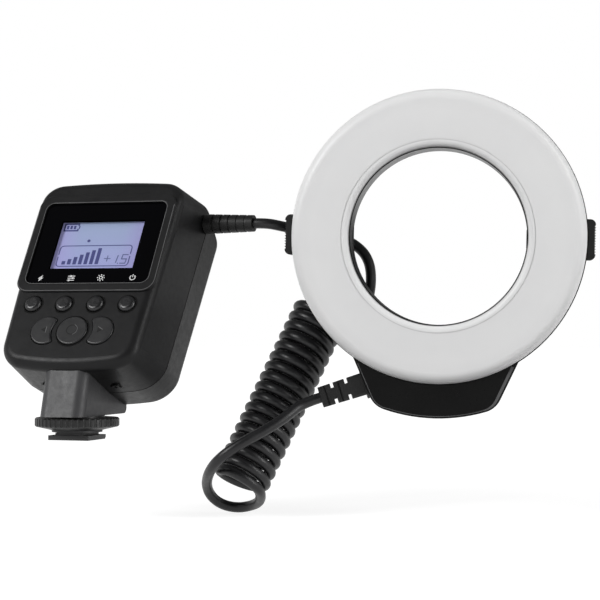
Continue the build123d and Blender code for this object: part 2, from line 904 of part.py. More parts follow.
# Contact pin, sprung out of the plate, and its spring
with BuildPart() as contact_pin:
    with BuildSketch(Plane.XY.offset(-pin_proud)):
        Circle(pin_radius)
    extrude(amount=pin_proud + pin_floor + seat_gap / 2)
    chamfer(contact_pin.faces().sort_by(Axis.Z)[0].edges(), pin_proud / 2)
    with BuildSketch(Plane.XY.offset(pin_floor + seat_gap / 2)):
        Circle(pin_flange)
    extrude(amount=pin_flange_thickness)

contact_pin.part.label = "contact_pin"
export_step(contact_pin.part, "parts/contact_pin.step")

pin_spring_foot = pin_floor + seat_gap + pin_flange_thickness
with BuildPart() as pin_spring:
    with BuildSketch(Plane.XY.offset(pin_spring_foot)):
        Circle(pin_flange)
        Circle(pin_flange - pin_spring_wall, mode=Mode.SUBTRACT)
    extrude(amount=pin_well_top - seat_gap - pin_spring_foot)

pin_spring.part.label = "pin_spring"
export_step(pin_spring.part, "parts/pin_spring.step")

# Pressure washer, which the wheel drives down onto the camera's shoe
washer_bottom = tongue_top + washer_rise
with BuildPart() as pressure_washer:
    with BuildSketch(Plane.XY.offset(washer_bottom)):
        Circle(washer_radius)
        Circle(stem_radius + running, mode=Mode.SUBTRACT)
    extrude(amount=washer_thickness)

pressure_washer.part.label = "pressure_washer"
export_step(pressure_washer.part, "parts/pressure_washer.step")

# Locking wheel with a ribbed rim, a coned underside and a recess for the collar
wheel_bottom = washer_bottom + washer_thickness + seat_gap / 2
with BuildPart() as locking_wheel:
    with BuildSketch(Plane.XZ):
        with BuildLine():
            Polyline(
                (stem_radius + running, wheel_bottom),
                (wheel_hub, wheel_bottom),
                (wheel_radius - wheel_chamfer, wheel_rim_low),
                (wheel_radius, wheel_rim_low + wheel_chamfer),
                (wheel_radius, wheel_top - wheel_chamfer),
                (wheel_radius - wheel_chamfer, wheel_top),
                (collar_radius + loose + seat_gap, wheel_top),
                (collar_radius + loose + seat_gap, wheel_top - collar_recess),
                (stem_radius + running, wheel_top - collar_recess),
                close=True,
            )
        make_face()
    revolve(axis=Axis.Z)
    with BuildSketch(Plane.XY.offset(wheel_bottom)):
        with PolarLocations(wheel_radius + wheel_rib_radius * wheel_rib_share, wheel_ribs):
            Circle(wheel_rib_radius)
    extrude(amount=wheel_top - wheel_bottom + overrun, mode=Mode.SUBTRACT)

locking_wheel.part.label = "locking_wheel"
export_step(locking_wheel.part, "parts/locking_wheel.step")

# Collar between the wheel and the neck
with BuildPart() as neck_collar:
    with BuildSketch(Plane.XY.offset(neck_bottom)):
        Circle(collar_radius)
        Circle(stem_radius, mode=Mode.SUBTRACT)
    extrude(amount=-collar_drop)
    chamfer(neck_collar.faces().sort_by(Axis.Z)[0].outer_wire().edges(), seat_gap)

neck_collar.part.label = "neck_collar"
export_step(neck_collar.part, "parts/neck_collar.step")

# Strain relief of the unit: a ribbed sleeve outside the wall and a flange inside it
with BuildPart() as unit_strain_relief:
    with BuildSketch(relief_plane.offset(unit_relief_base)):
        Circle(relief_base_radius)
    with BuildSketch(relief_plane.offset(unit_relief_base + unit_relief_length)):
        Circle(relief_tip_radius)
    loft()
    for i in range(relief_grooves):
        groove_at = unit_relief_base + unit_relief_length * (i + 1) / (relief_grooves + 1)
        with BuildSketch(relief_plane.offset(groove_at)):
            Circle(relief_base_radius + overrun)
            Circle(relief_base_radius - relief_groove_depth, mode=Mode.SUBTRACT)
        extrude(amount=relief_groove, mode=Mode.SUBTRACT)
    with BuildSketch(relief_plane.offset(unit_relief_base - unit_relief_root)):
        Circle(relief_neck)
    extrude(amount=unit_relief_root)
    with BuildSketch(relief_plane.offset(unit_relief_base - unit_relief_root)):
        Circle(relief_flange)
    extrude(amount=relief_flange_thickness)

unit_strain_relief.part.label = "unit_strain_relief"
export_step(unit_strain_relief.part, "parts/unit_strain_relief.step")

# Diffuser: a hollow ring with rounded edges and a fine groove near its bore
with BuildPart() as diffuser:
    with BuildSketch(ring):
        Circle(diffuser_radius)
        Circle(diffuser_bore, mode=Mode.SUBTRACT)
    extrude(amount=-diffuser_depth)
    front_edges = diffuser.faces().sort_by(ring_axis)[-1].edges().sort_by(SortBy.RADIUS)
    fillet(front_edges[-1], diffuser_round)
    front_edges = diffuser.faces().filter_by(GeomType.PLANE).sort_by(ring_axis)[-1].edges()
    fillet(front_edges.sort_by(SortBy.RADIUS)[0], diffuser_lip_round)
    with BuildSketch(ring.offset(-diffuser_wall)):
        Circle(diffuser_radius - diffuser_wall)
        Circle(bore_radius + tube_wall + seat_gap + diffuser_skirt, mode=Mode.SUBTRACT)
    extrude(amount=-diffuser_depth, mode=Mode.SUBTRACT)
    with BuildSketch(ring.offset(-tube_front + seat_gap)):
        Circle(bore_radius + tube_wall + seat_gap)
    extrude(amount=-diffuser_depth, mode=Mode.SUBTRACT)
    with BuildSketch(ring):
        Circle(diffuser_bore + groove_inset + groove_width)
        Circle(diffuser_bore + groove_inset, mode=Mode.SUBTRACT)
    extrude(amount=-groove_depth, mode=Mode.SUBTRACT)

diffuser.part.label = "diffuser"
export_step(diffuser.part, "parts/diffuser.step")


def block_outline(plane, inset):
    """Trapezoid with rounded corners under the ring, drawn in by the inset."""
    top = (block_half_top - inset, -block_top)
    low = (block_half_low - inset, -block_heel + inset)
    with BuildSketch(plane) as outline:
        with BuildLine():
            Line((-top[0], top[1]), top)
            Line(top, low)
            ThreePointArc(low, (0, -block_sole + inset), (-low[0], low[1]))
            Line((-low[0], low[1]), (-top[0], top[1]))
        make_face()
        fillet(outline.vertices().sort_by(Axis.Y)[:2], block_corner - inset)
    return outline.sketch


cover_front = head_depth - cover_thickness
head_boss_places = [
    (head_boss_circle * cos(radians(head_boss_turn + 90 * i)), head_boss_circle * sin(radians(head_boss_turn + 90 * i)))
    for i in range(4)
]
block_boss_places = [(side * block_boss_out, -block_boss_drop) for side in (-1, 1)]
head_screw_places = head_boss_places + block_boss_places
catch_half = latch_catch / 2 + loose

# Housing of the ring head and its block, with a web that carries the lamp board
with BuildPart() as block_form:
    extrude(block_outline(ring.offset(-block_front), 0), amount=-(cover_front - block_front))
    fillet(block_form.faces().sort_by(ring_axis)[-1].edges(), block_round)

with BuildPart() as head_housing:
    with BuildSketch(ring.offset(-diffuser_depth)):
        Circle(head_radius)
    extrude(amount=-(cover_front - diffuser_depth))
    add(block_form.part)
    with BuildSketch(ring.offset(overrun)):
        Circle(diffuser_radius + loose)
    extrude(amount=-(overrun + diffuser_depth), mode=Mode.SUBTRACT)
    with BuildSketch(ring.offset(-diffuser_depth)):
        Circle(head_radius - head_wall)
    extrude(amount=-(web_depth - diffuser_depth), mode=Mode.SUBTRACT)
    with BuildSketch(ring.offset(-(web_depth + web_thickness))):
        Circle(head_radius - head_wall)
    extrude(amount=-(cover_front - web_depth - web_thickness), mode=Mode.SUBTRACT)
    with BuildSketch(ring.offset(-(block_front + head_wall))):
        add(block_outline(Plane.XY, head_wall))
        Circle(head_radius, mode=Mode.SUBTRACT)
    extrude(amount=-(cover_front - block_front - head_wall), mode=Mode.SUBTRACT)
    with BuildSketch(ring.offset(-tube_front)):
        Circle(bore_radius + tube_wall)
    extrude(amount=-(cover_front - tube_front))
    with BuildSketch(ring):
        Circle(bore_radius)
    extrude(amount=-head_depth, mode=Mode.SUBTRACT)
    with BuildSketch(ring.offset(-(web_depth + web_thickness / 2))):
        with Locations(*head_boss_places):
            Circle(head_boss_radius)
    extrude(amount=-(cover_front - web_depth - web_thickness / 2))
    with BuildSketch(ring.offset(-(block_front + head_wall / 2))):
        with Locations(*block_boss_places):
            Circle(head_boss_radius)
    extrude(amount=-(cover_front - block_front - head_wall / 2))
    with BuildSketch(ring.offset(-cover_front)):
        with Locations(*head_screw_places):
            Circle(small_screw_radius + seat_gap)
    extrude(amount=small_screw_length, mode=Mode.SUBTRACT)
    with BuildSketch(ring.offset(-(release_front - loose))):
        slot_width = head_radius - release_inner + release_travel + loose + overrun
        for side in (-1, 1):
            with Locations((side * (head_radius + overrun - slot_width / 2), 0)):
                Rectangle(slot_width, release_height + 2 * loose)
    extrude(amount=-(release_depth + 2 * loose), mode=Mode.SUBTRACT)
    for side, depth in ((1, left_latch_depth), (-1, right_latch_depth)):
        with BuildSketch(ring.offset(-(depth - loose))):
            with Locations((side * bore_radius, 0)):
                Rectangle(4 * tube_wall, 2 * catch_half)
        extrude(amount=-(latch_thickness + 2 * loose), mode=Mode.SUBTRACT)

# Strain relief of the ring head, whose hole goes through the block's left wall
relief_base_point = ring.from_local_coords(Vector(head_relief_base))
relief_tip_point = ring.from_local_coords(Vector(head_relief_tip))
relief_run = relief_tip_point - relief_base_point
head_relief_plane = Plane(origin=relief_base_point, x_dir=ring.z_dir.cross(relief_run), z_dir=relief_run)
head_relief_length = relief_run.length
with BuildPart() as relief_hole:
    with BuildSketch(head_relief_plane.offset(-head_relief_root)):
        Circle(relief_neck + seat_gap)
    extrude(amount=2 * head_relief_root)

with BuildPart() as head_relief_clear:
    with BuildSketch(head_relief_plane):
        RectangleRounded(
            head_collar_height + 2 * seat_gap, head_collar_depth + 2 * seat_gap, head_collar_corner + seat_gap
        )
    extrude(amount=head_relief_length)

with BuildPart() as drilled_housing:
    add(head_housing.part)
    add(relief_hole.part, mode=Mode.SUBTRACT)
    add(head_relief_clear.part, mode=Mode.SUBTRACT)

drilled_housing.part.label = "head_housing"
export_step(drilled_housing.part, "parts/head_housing.step")

with BuildPart() as head_strain_relief:
    with BuildSketch(head_relief_plane):
        RectangleRounded(head_relief_height, head_relief_depth, head_relief_corner)
    with BuildSketch(head_relief_plane.offset(head_relief_length)):
        RectangleRounded(
            head_relief_height - 2 * head_relief_taper, head_relief_depth - 2 * head_relief_taper, head_relief_corner
        )
    loft()
    for places, width, half, turned in (
        (head_slot_places, head_slot_width, head_relief_height / 2 - head_slot_depth, False),
        (side_slot_places, side_slot_width, head_relief_depth / 2 - side_slot_depth, True),
    ):
        for place in places:
            middle = (0, half + head_relief_height / 2) if turned else (half + head_relief_height / 2, 0)
            other = (middle[0], -middle[1]) if turned else (-middle[0], middle[1])
            size = (2 * head_relief_height, head_relief_height)
            with BuildSketch(head_relief_plane.offset(head_relief_length - place - width)):
                with Locations(middle, other):
                    Rectangle(*(size if turned else size[::-1]))
            extrude(amount=width, mode=Mode.SUBTRACT)
    with BuildSketch(head_relief_plane):
        RectangleRounded(head_collar_height, head_collar_depth, head_collar_corner)
    extrude(amount=head_collar_thickness)
    with BuildSketch(head_relief_plane):
        Circle(relief_neck)
    extrude(amount=-head_relief_root)
    with BuildSketch(head_relief_plane.offset(-head_relief_root)):
        Circle(relief_flange)
    extrude(amount=relief_flange_thickness)

head_strain_relief.part.label = "head_strain_relief"
export_step(head_strain_relief.part, "parts/head_strain_relief.step")

# Rear cover of the ring head
with BuildPart() as head_rear_cover:
    with BuildSketch(ring.offset(-cover_front)):
        Circle(head_radius)
        add(block_outline(Plane.XY, 0))
        Circle(cover_bore, mode=Mode.SUBTRACT)
    extrude(amount=-cover_thickness)
    chamfer(head_rear_cover.faces().sort_by(ring_axis)[0].outer_wire().edges(), cover_edge)
    with BuildSketch(ring.offset(-head_depth)):
        with Locations(*head_screw_places):
            Circle(small_screw_head + seat_gap)
    extrude(amount=small_screw_head_height, mode=Mode.SUBTRACT)
    with BuildSketch(ring.offset(-head_depth)):
        with Locations(*head_screw_places):
            Circle(small_screw_radius + seat_gap)
    extrude(amount=cover_thickness, mode=Mode.SUBTRACT)

head_rear_cover.part.label = "head_rear_cover"
export_step(head_rear_cover.part, "parts/head_rear_cover.step")

ring_back = Plane(origin=ring.from_local_coords(Vector(0, 0, -head_depth)), x_dir=-ring.x_dir, z_dir=-ring.z_dir)
head_screws = screw_set(
    ring_back,
    [(-x, y) for x, y in head_screw_places],
    small_screw_head, small_screw_head_height, small_screw_radius, small_screw_length,
)
head_screws.part.label = "head_screws"
export_step(head_screws.part, "parts/head_screws.step")

# Lamp board, its lamps and the reflector pan round them
lamp_front = web_depth - led_board_thickness
with BuildPart() as led_board:
    with BuildSketch(ring.offset(-lamp_front)):
        Circle(led_board_outer)
        Circle(led_board_inner, mode=Mode.SUBTRACT)
    extrude(amount=-led_board_thickness)

led_board.part.label = "led_board"
export_step(led_board.part, "parts/led_board.step")

with BuildPart() as leds:
    with BuildSketch(ring.offset(-(lamp_front - led_height))):
        with PolarLocations(led_circle, led_count):
            Circle(led_radius)
    extrude(amount=-led_height)
    fillet(leds.faces().group_by(ring_axis)[-1].edges(), led_radius * 0.8)

leds.part.label = "leds"
export_step(leds.part, "parts/leds.step")

with BuildPart() as reflector:
    with BuildSketch(ring.offset(-lamp_front)):
        Circle(reflector_outer)
        Circle(reflector_inner, mode=Mode.SUBTRACT)
        with PolarLocations(led_circle, led_count):
            Circle(led_radius + led_hole_gap, mode=Mode.SUBTRACT)
    extrude(amount=reflector_thickness)
    with BuildSketch(ring.offset(-lamp_front)):
        Circle(reflector_outer)
        Circle(reflector_outer - reflector_thickness, mode=Mode.SUBTRACT)
        Circle(reflector_inner + reflector_thickness)
        Circle(reflector_inner, mode=Mode.SUBTRACT)
    extrude(amount=reflector_rise)

reflector.part.label = "reflector"
export_step(reflector.part, "parts/reflector.step")

# Driver board in the block, with its choke and two chips
with BuildPart() as driver_board:
    with BuildSketch(ring.offset(-driver_depth)):
        with Locations((0, -driver_drop)):
            Rectangle(driver_width, driver_height)
        with Locations(*block_boss_places):
            Circle(head_boss_radius + loose, mode=Mode.SUBTRACT)
    extrude(amount=-driver_thickness)

driver_board.part.label = "driver_board"
export_step(driver_board.part, "parts/driver_board.step")

with BuildPart() as driver_parts:
    with BuildSketch(ring.offset(-driver_depth)):
        with Locations((0, -driver_drop)):
            Circle(coil_part_radius)
    extrude(amount=coil_part_height)
    with BuildSketch(ring.offset(-driver_depth)):
        with Locations((-chip_spread, -driver_drop), (chip_spread, -driver_drop)):
            Rectangle(chip_size, chip_size)
    extrude(amount=chip_height)

driver_parts.part.label = "driver_parts"
export_step(driver_parts.part, "parts/driver_parts.step")

# Release buttons, knurled along their outer face, and the latch ring that each one carries
for side, latch_depth, name in ((-1, left_latch_depth, "left"), (1, right_latch_depth, "right")):
    with BuildPart() as release_button:
        with BuildSketch(ring.offset(-release_front)):
            with Locations((side * (release_outer + release_inner) / 2, 0)):
                Rectangle(release_outer - release_inner, release_height)
        extrude(amount=-release_depth)
        cap_edges = release_button.edges().filter_by(ring_axis).sort_by(Axis(ring.origin, side * ring.x_dir))[-2:]
        fillet(cap_edges, release_corner)
        with BuildSketch(ring.offset(-release_front)):
            for i in range(release_knurls):
                rise = (i - (release_knurls - 1) / 2) * (release_height - 2 * release_corner) / release_knurls
                with Locations((side * release_outer, rise)):
                    Circle(release_knurl)
        extrude(amount=-release_depth, mode=Mode.SUBTRACT)
    release_button.part.label = f"release_button_{name}"
    export_step(release_button.part, f"parts/release_button_{name}.step")

    with BuildPart() as latch_ring:
        with BuildSketch(ring.offset(-latch_depth)):
            Circle(latch_outer)
            Circle(latch_inner, mode=Mode.SUBTRACT)
            arm_length = release_inner - latch_inner - overrun
            with Locations((side * (release_inner - arm_length / 2), 0)):
                Rectangle(arm_length, latch_arm)
            catch_length = latch_inner + overrun - bore_radius + latch_bite
            with Locations((-side * (bore_radius - latch_bite + catch_length / 2), 0)):
                Rectangle(catch_length, latch_catch)
        extrude(amount=-latch_thickness)
    latch_ring.part.label = f"latch_ring_{name}"
    export_step(latch_ring.part, f"parts/latch_ring_{name}.step")

# Latch springs, drawn at their pressed length between the outer wall and each ring's far side
spring_rise = latch_arm / 2 + release_height / 2 + latch_spring_radius
spring_seat = sqrt((head_radius - head_wall) ** 2 - (spring_rise + latch_spring_radius) ** 2)
with BuildPart() as latch_springs:
    for side, latch_depth in ((1, left_latch_depth), (-1, right_latch_depth)):
        spring_plane = Plane(
            origin=ring.from_local_coords(
                Vector(side * (spring_seat - seat_gap), 0, -(latch_depth + latch_thickness / 2))
            ),
            x_dir=ring.y_dir,
            z_dir=-side * ring.x_dir,
        )
        with BuildSketch(spring_plane):
            with Locations((spring_rise, 0)):
                Circle(latch_spring_radius)
        extrude(amount=latch_spring_length)

latch_springs.part.label = "latch_springs"
export_step(latch_springs.part, "parts/latch_springs.step")

# Coil of the cord: turns that run down from the top, away from the viewer on the right-hand side
coil_axis = (coil_top - coil_foot).normalized()
coil_right = (coil_aside - coil_axis * coil_aside.dot(coil_axis)).normalized()
coil_back = coil_axis.cross(coil_right)
coil_pitch = (coil_top - coil_foot).length / coil_turns


def coil_point(turn):
    """Place on the coil's centre line, counted in turns from its top."""
    angle = 2 * pi * turn
    return coil_top - coil_axis * (coil_pitch * turn) + (coil_right * cos(angle) + coil_back * sin(angle)) * coil_radius


def coil_tangent(turn):
    """Direction of the coil's centre line, down the cord."""
    angle = 2 * pi * turn
    across = (coil_back * cos(angle) - coil_right * sin(angle)) * (2 * pi * coil_radius)
    return (across - coil_axis * coil_pitch).normalized()


def biarc(start, start_way, end, end_way):
    """Two arcs that join two places with a given direction at each."""
    span = end - start
    both = span.dot(start_way + end_way)
    spread = 2 * (1 - start_way.dot(end_way))
    reach = (sqrt(both * both + spread * span.dot(span)) - both) / spread
    first = start + start_way * reach
    second = end - end_way * reach
    middle = (first + second) * 0.5
    TangentArc(start, middle, tangent=start_way)
    TangentArc(middle, end, tangent=second - first)


coil_start = coil_point(coil_first_turn)
coil_start_way = coil_tangent(coil_first_turn)
coil_end = coil_point(coil_turns)
coil_end_way = coil_tangent(coil_turns)
stations = [coil_first_turn + i / 2 for i in range(int(2 * (coil_turns - coil_first_turn)) + 1)] + [coil_turns]

with BuildPart() as cord_coil:
    with BuildLine() as coil_path:
        Line(coil_start - coil_start_way * coil_end_run, coil_start)
        for first_turn, next_turn in zip(stations, stations[1:]):
            biarc(coil_point(first_turn), coil_tangent(first_turn), coil_point(next_turn), coil_tangent(next_turn))
        Line(coil_end, coil_end + coil_end_way * coil_end_run)
    with BuildSketch(Plane(origin=coil_start - coil_start_way * coil_end_run, z_dir=coil_start_way)):
        Circle(cord_radius)
    sweep(path=coil_path.wire())

cord_coil.part.label = "cord_coil"
export_step(cord_coil.part, "parts/cord_coil.step")

coil_wire = coil_path.wire()
samples_per_turn = 36
sample_count = int(samples_per_turn * coil_turns)
coil_samples = [coil_wire.position_at(i / sample_count) for i in range(sample_count + 1)]
coil_gap = min(
    (coil_samples[i] - coil_samples[j]).length - 2 * cord_radius
    for i in range(len(coil_samples))
    for j in range(i + samples_per_turn // 2, min(i + 2 * samples_per_turn, len(coil_samples)))
)
print(f"coil: {coil_turns - coil_first_turn:.2f} turns, {coil_wire.length:.0f} mm, least gap {coil_gap:.2f} mm")


def route_radii(points):
    """Arc radius at each inner point of a route, as large as its two runs allow."""
    radii = []
    for before, here, after in zip(points, points[1:], points[2:]):
        turn = radians((here - before).get_angle(after - here))
        radii.append(route_share * min((here - before).length, (after - here).length) / tan(turn / 2))
    return radii


def cord_stretch(points):
    """Round tube along a route of straight runs and arcs, and its length."""
    with BuildPart() as stretch:
        with BuildLine() as path:
            FilletPolyline(points, radius=route_radii(points))
        with BuildSketch(Plane(origin=points[0], z_dir=points[1] - points[0])):
            Circle(cord_radius)
        sweep(path=path.wire())
    return stretch, path.wire().length


unit_exit = Vector(unit_relief_base + unit_relief_length, relief_seat.Y, relief_seat.Z)
unit_lead = unit_exit + Vector(unit_lead_length, 0, 0)
coil_lead = coil_start - coil_start_way * coil_end_run
coil_tail = coil_end + coil_end_way * coil_end_run
upper_points = [unit_exit, unit_lead] + [Vector(p) for p in upper_route]
upper_points += [coil_lead - coil_start_way * coil_lead_length, coil_lead]
head_lead = relief_tip_point + relief_run.normalized() * head_lead_length
lower_points = [coil_tail, coil_tail + coil_end_way * coil_end_run] + [Vector(p) for p in lower_route]
lower_points += [head_lead, relief_tip_point]

cord_upper, upper_length = cord_stretch(upper_points)
cord_upper.part.label = "cord_upper"
export_step(cord_upper.part, "parts/cord_upper.step")

cord_lower, lower_length = cord_stretch(lower_points)
cord_lower.part.label = "cord_lower"
export_step(cord_lower.part, "parts/cord_lower.step")

for stretch_name, points, stretch, length in (
    ("upper", upper_points, cord_upper, upper_length),
    ("lower", lower_points, cord_lower, lower_length),
):
    radii = " ".join(f"{radius:.0f}" for radius in route_radii(points))
    print(f"{stretch_name} cord: {length:.1f} mm, radii {radii}")
    print(f"  volume over section times length {stretch.part.volume / (pi * cord_radius**2 * length):.4f}")
    print("  route", [tuple(round(value, 2) for value in point) for point in points])
print(f"whole cord: {upper_length + coil_wire.length + lower_length:.0f} mm")
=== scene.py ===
# %% [markdown]
# # A macro ring light, dressed in Blender
# The solids of this ring light come from a CAD model: a control unit with a display on a shoe foot, a curly
# cord and a ring-shaped head. This lesson loads them as a fixed frame. It gives every piece a finish made of
# nodes, lays the cord as one smooth spline, and adds the thin printed marks that a solid model leaves out.

# %% Loading the frame
import math
import bmesh
import bpy
from mathutils import Matrix, Vector


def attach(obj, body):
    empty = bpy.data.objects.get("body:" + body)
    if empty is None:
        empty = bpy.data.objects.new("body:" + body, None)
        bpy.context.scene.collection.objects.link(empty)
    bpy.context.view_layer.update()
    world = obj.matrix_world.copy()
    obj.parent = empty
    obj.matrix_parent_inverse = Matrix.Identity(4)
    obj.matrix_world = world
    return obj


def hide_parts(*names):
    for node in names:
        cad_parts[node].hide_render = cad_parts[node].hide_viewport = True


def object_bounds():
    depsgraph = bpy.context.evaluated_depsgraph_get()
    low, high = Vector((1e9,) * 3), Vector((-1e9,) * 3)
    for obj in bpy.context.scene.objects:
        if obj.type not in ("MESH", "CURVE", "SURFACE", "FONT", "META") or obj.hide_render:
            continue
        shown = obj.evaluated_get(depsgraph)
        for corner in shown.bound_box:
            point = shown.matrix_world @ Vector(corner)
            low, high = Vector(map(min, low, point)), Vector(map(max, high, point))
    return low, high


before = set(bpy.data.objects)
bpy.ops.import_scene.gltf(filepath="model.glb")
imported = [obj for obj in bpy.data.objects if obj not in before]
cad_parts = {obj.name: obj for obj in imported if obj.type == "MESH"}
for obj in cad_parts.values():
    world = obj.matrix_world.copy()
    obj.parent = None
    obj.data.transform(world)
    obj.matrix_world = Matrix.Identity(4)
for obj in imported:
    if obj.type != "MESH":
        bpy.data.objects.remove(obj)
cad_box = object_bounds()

# %% [markdown]
# ## The camera
# A product photograph is taken with a long lens from some way off, so that parallel edges stay nearly
# parallel. The place of this camera was fitted to the corners of the display and the foot. It looks a little
# to the left and almost level. A camera looks along its own -Z, so its matrix is built from three directions.

# %% Camera at the photograph's angle
camera_turn = math.radians(19.27)
camera_tilt = math.radians(0.69)
camera_distance = 0.85484
camera_aside = 0.09517
camera_height = 0.04922
camera_lens = 120

level_ahead = Vector((-math.sin(camera_turn), math.cos(camera_turn), 0))
camera_right = Vector((math.cos(camera_turn), math.sin(camera_turn), 0))
camera_ahead = level_ahead * math.cos(camera_tilt) + Vector((0, 0, math.sin(camera_tilt)))
camera_up = camera_right.cross(camera_ahead)
camera_place = camera_right * camera_aside - level_ahead * camera_distance + Vector((0, 0, camera_height))

camera = bpy.data.objects.new("camera", bpy.data.cameras.new("camera"))
bpy.context.scene.collection.objects.link(camera)
camera.data.sensor_width = 36
camera.data.lens = camera_lens
camera.data.clip_start = 0.01
camera.matrix_world = Matrix.Translation(camera_place) @ Matrix(
    (camera_right, camera_up, -camera_ahead)
).transposed().to_4x4()
bpy.context.scene.camera = camera
print("camera at", [round(v, 3) for v in camera_place])

# %% [markdown]
# ## The cord's route
# A curly cord is one long tube: a loose stretch out of the unit, a tight helix, and a loose stretch into the
# ring head. A NURBS spline of order 3 touches the middle of each leg between its points, so it stays smooth
# with few points. The loose stretches are listed; the helix is worked out, twelve points a turn.

# %% Points of the loose stretches, in metres
cord_radius = 0.0023
upper_route = [
    (0.0595, 0.05642, 0.09398), (0.0655, 0.05642, 0.09398), (0.0708, 0.0591, 0.0928), (0.0758, 0.0632, 0.0916),
    (0.0811, 0.0672, 0.0906), (0.0872, 0.0711, 0.0896), (0.0934, 0.0744, 0.0882), (0.0991, 0.0766, 0.0854),
    (0.1041, 0.0775, 0.0812), (0.1069, 0.0774, 0.0756), (0.1076, 0.0769, 0.0689), (0.1069, 0.0768, 0.0624),
    (0.1045, 0.0776, 0.056), (0.1014, 0.0797, 0.0514), (0.09653, 0.08264, 0.04874),
]
lower_route = [
    (0.06504, 0.04956, -0.02865), (0.0588, 0.0555, -0.0313), (0.0517, 0.0562, -0.0326), (0.0453, 0.0536, -0.0311),
    (0.0417, 0.049, -0.027), (0.0421, 0.0425, -0.0212), (0.0497, 0.0274, -0.0144), (0.0557, 0.0219, -0.0092),
    (0.0619, 0.022, -0.0044), (0.0692, 0.0256, 0.0003), (0.0766, 0.0315, 0.005), (0.0826, 0.0376, 0.0102),
    (0.08616, 0.04427, 0.01474), (0.0938, 0.04724, 0.01734),
]

# %% [markdown]
# The helix runs down a slanted axis from its top to its foot. Points on a slightly larger radius make a
# spline that touches the real one, because the spline passes through the middle of each leg.

# %% Points of the helix
coil_top = Vector((0.0839, 0.0782, 0.0551))
coil_foot = Vector((0.05866, 0.0400, -0.02087))
coil_radius = 0.0104
coil_turns = 17
coil_first_turn = 0.15
coil_points = 203

coil_axis = (coil_top - coil_foot).normalized()
coil_right = camera_right - coil_axis * camera_right.dot(coil_axis)
coil_right.normalize()
coil_back = coil_axis.cross(coil_right)
coil_step = (coil_turns - coil_first_turn) / coil_points
corner_radius = coil_radius / math.cos(math.pi * coil_step)

helix = []
for i in range(coil_points):
    turn = coil_first_turn + (i + 0.5) * coil_step
    along = coil_top.lerp(coil_foot, turn / coil_turns)
    angle = 2 * math.pi * turn
    helix.append(along + (coil_right * math.cos(angle) + coil_back * math.sin(angle)) * corner_radius)
print("helix points", len(helix), "a turn", round(1 / coil_step, 1))

# %% [markdown]
# A spline's tube is as thick as its bevel depth times the radius of its points. The depth stays 1 and the points
# carry the cord's radius, because the box round a curve is grown by the radius of its points.

# %% The cord as one spline
cord_curve = bpy.data.curves.new("curly_cord", "CURVE")
cord_curve.dimensions = "3D"
cord_curve.bevel_depth = 1
cord_curve.bevel_resolution = 6
cord_curve.resolution_u = 5
cord_curve.use_fill_caps = True
cord_points = [Vector(p) for p in upper_route] + helix + [Vector(p) for p in lower_route]
spline = cord_curve.splines.new("NURBS")
spline.points.add(len(cord_points) - 1)
for point, place in zip(spline.points, cord_points):
    point.co = (*place, 1)
    point.radius = cord_radius
spline.order_u = 3
spline.use_endpoint_u = True
cord = bpy.data.objects.new("curly_cord", cord_curve)
bpy.context.scene.collection.objects.link(cord)
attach(cord, "unit")
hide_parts("cord_upper", "cord_coil", "cord_lower")
print("cord points", len(cord_points))

# %% [markdown]
# ## Wiring nodes
# A shader is a tree of nodes. Each input of a node either has a value or is wired to another node's output. A
# few helpers that take both keep the trees below short.

# %% Helpers for node trees
def set_inputs(tree, node, inputs):
    """Wires each input that is given a socket, and sets each one that is given a value."""
    for name, given in inputs.items():
        if isinstance(given, bpy.types.NodeSocket):
            tree.links.new(given, node.inputs[name])
        else:
            node.inputs[name].default_value = given


def add_node(tree, kind, inputs, operation=None):
    """New shader node of a kind, with its inputs and the operation it does, where it has one."""
    node = tree.nodes.new("ShaderNode" + kind)
    if operation:
        node.operation = operation
    set_inputs(tree, node, inputs)
    return node


def work_out(tree, operation, *terms):
    """Socket with the result of a sum on one or two terms."""
    return add_node(tree, "Math", dict(enumerate(terms)), operation).outputs["Value"]


def carry_over(tree, value, source, target, smooth=False):
    """Socket that carries a value from one range over to another."""
    node = tree.nodes.new("ShaderNodeMapRange")
    if smooth:
        node.interpolation_type = "SMOOTHSTEP"
    set_inputs(tree, node, {
        "Value": value, "From Min": source[0], "From Max": source[1], "To Min": target[0], "To Max": target[1],
    })
    return node.outputs["Result"]


def mix_colours(tree, factor, first, second, blend="MIX"):
    """Socket with a blend of two colours."""
    node = tree.nodes.new("ShaderNodeMix")
    node.data_type = "RGBA"
    node.blend_type = blend
    set_inputs(tree, node, {"Factor": factor, "A": first, "B": second})
    return node.outputs["Result"]


def new_material(name):
    """New material with its node tree and its shader."""
    material = bpy.data.materials.new(name)
    material.use_nodes = True
    return material, material.node_tree, material.node_tree.nodes["Principled BSDF"]


# %% [markdown]
# ## Finishes of moulded plastic and rubber
# A moulded case isn't one flat black. The mould's spark-eroded texture breaks up the gloss, the sheen differs
# from place to place, and the colour drifts a little. Three noises do this on Object coordinates, which are
# metres here: a fine one for the bump, a middle one for the roughness and a broad one for the colour.

# %% Helpers for textured surfaces
drift_scale, drift_band = 60, (0.35, 0.65)
sheen_scale, sheen_band = 420, (0.3, 0.7)


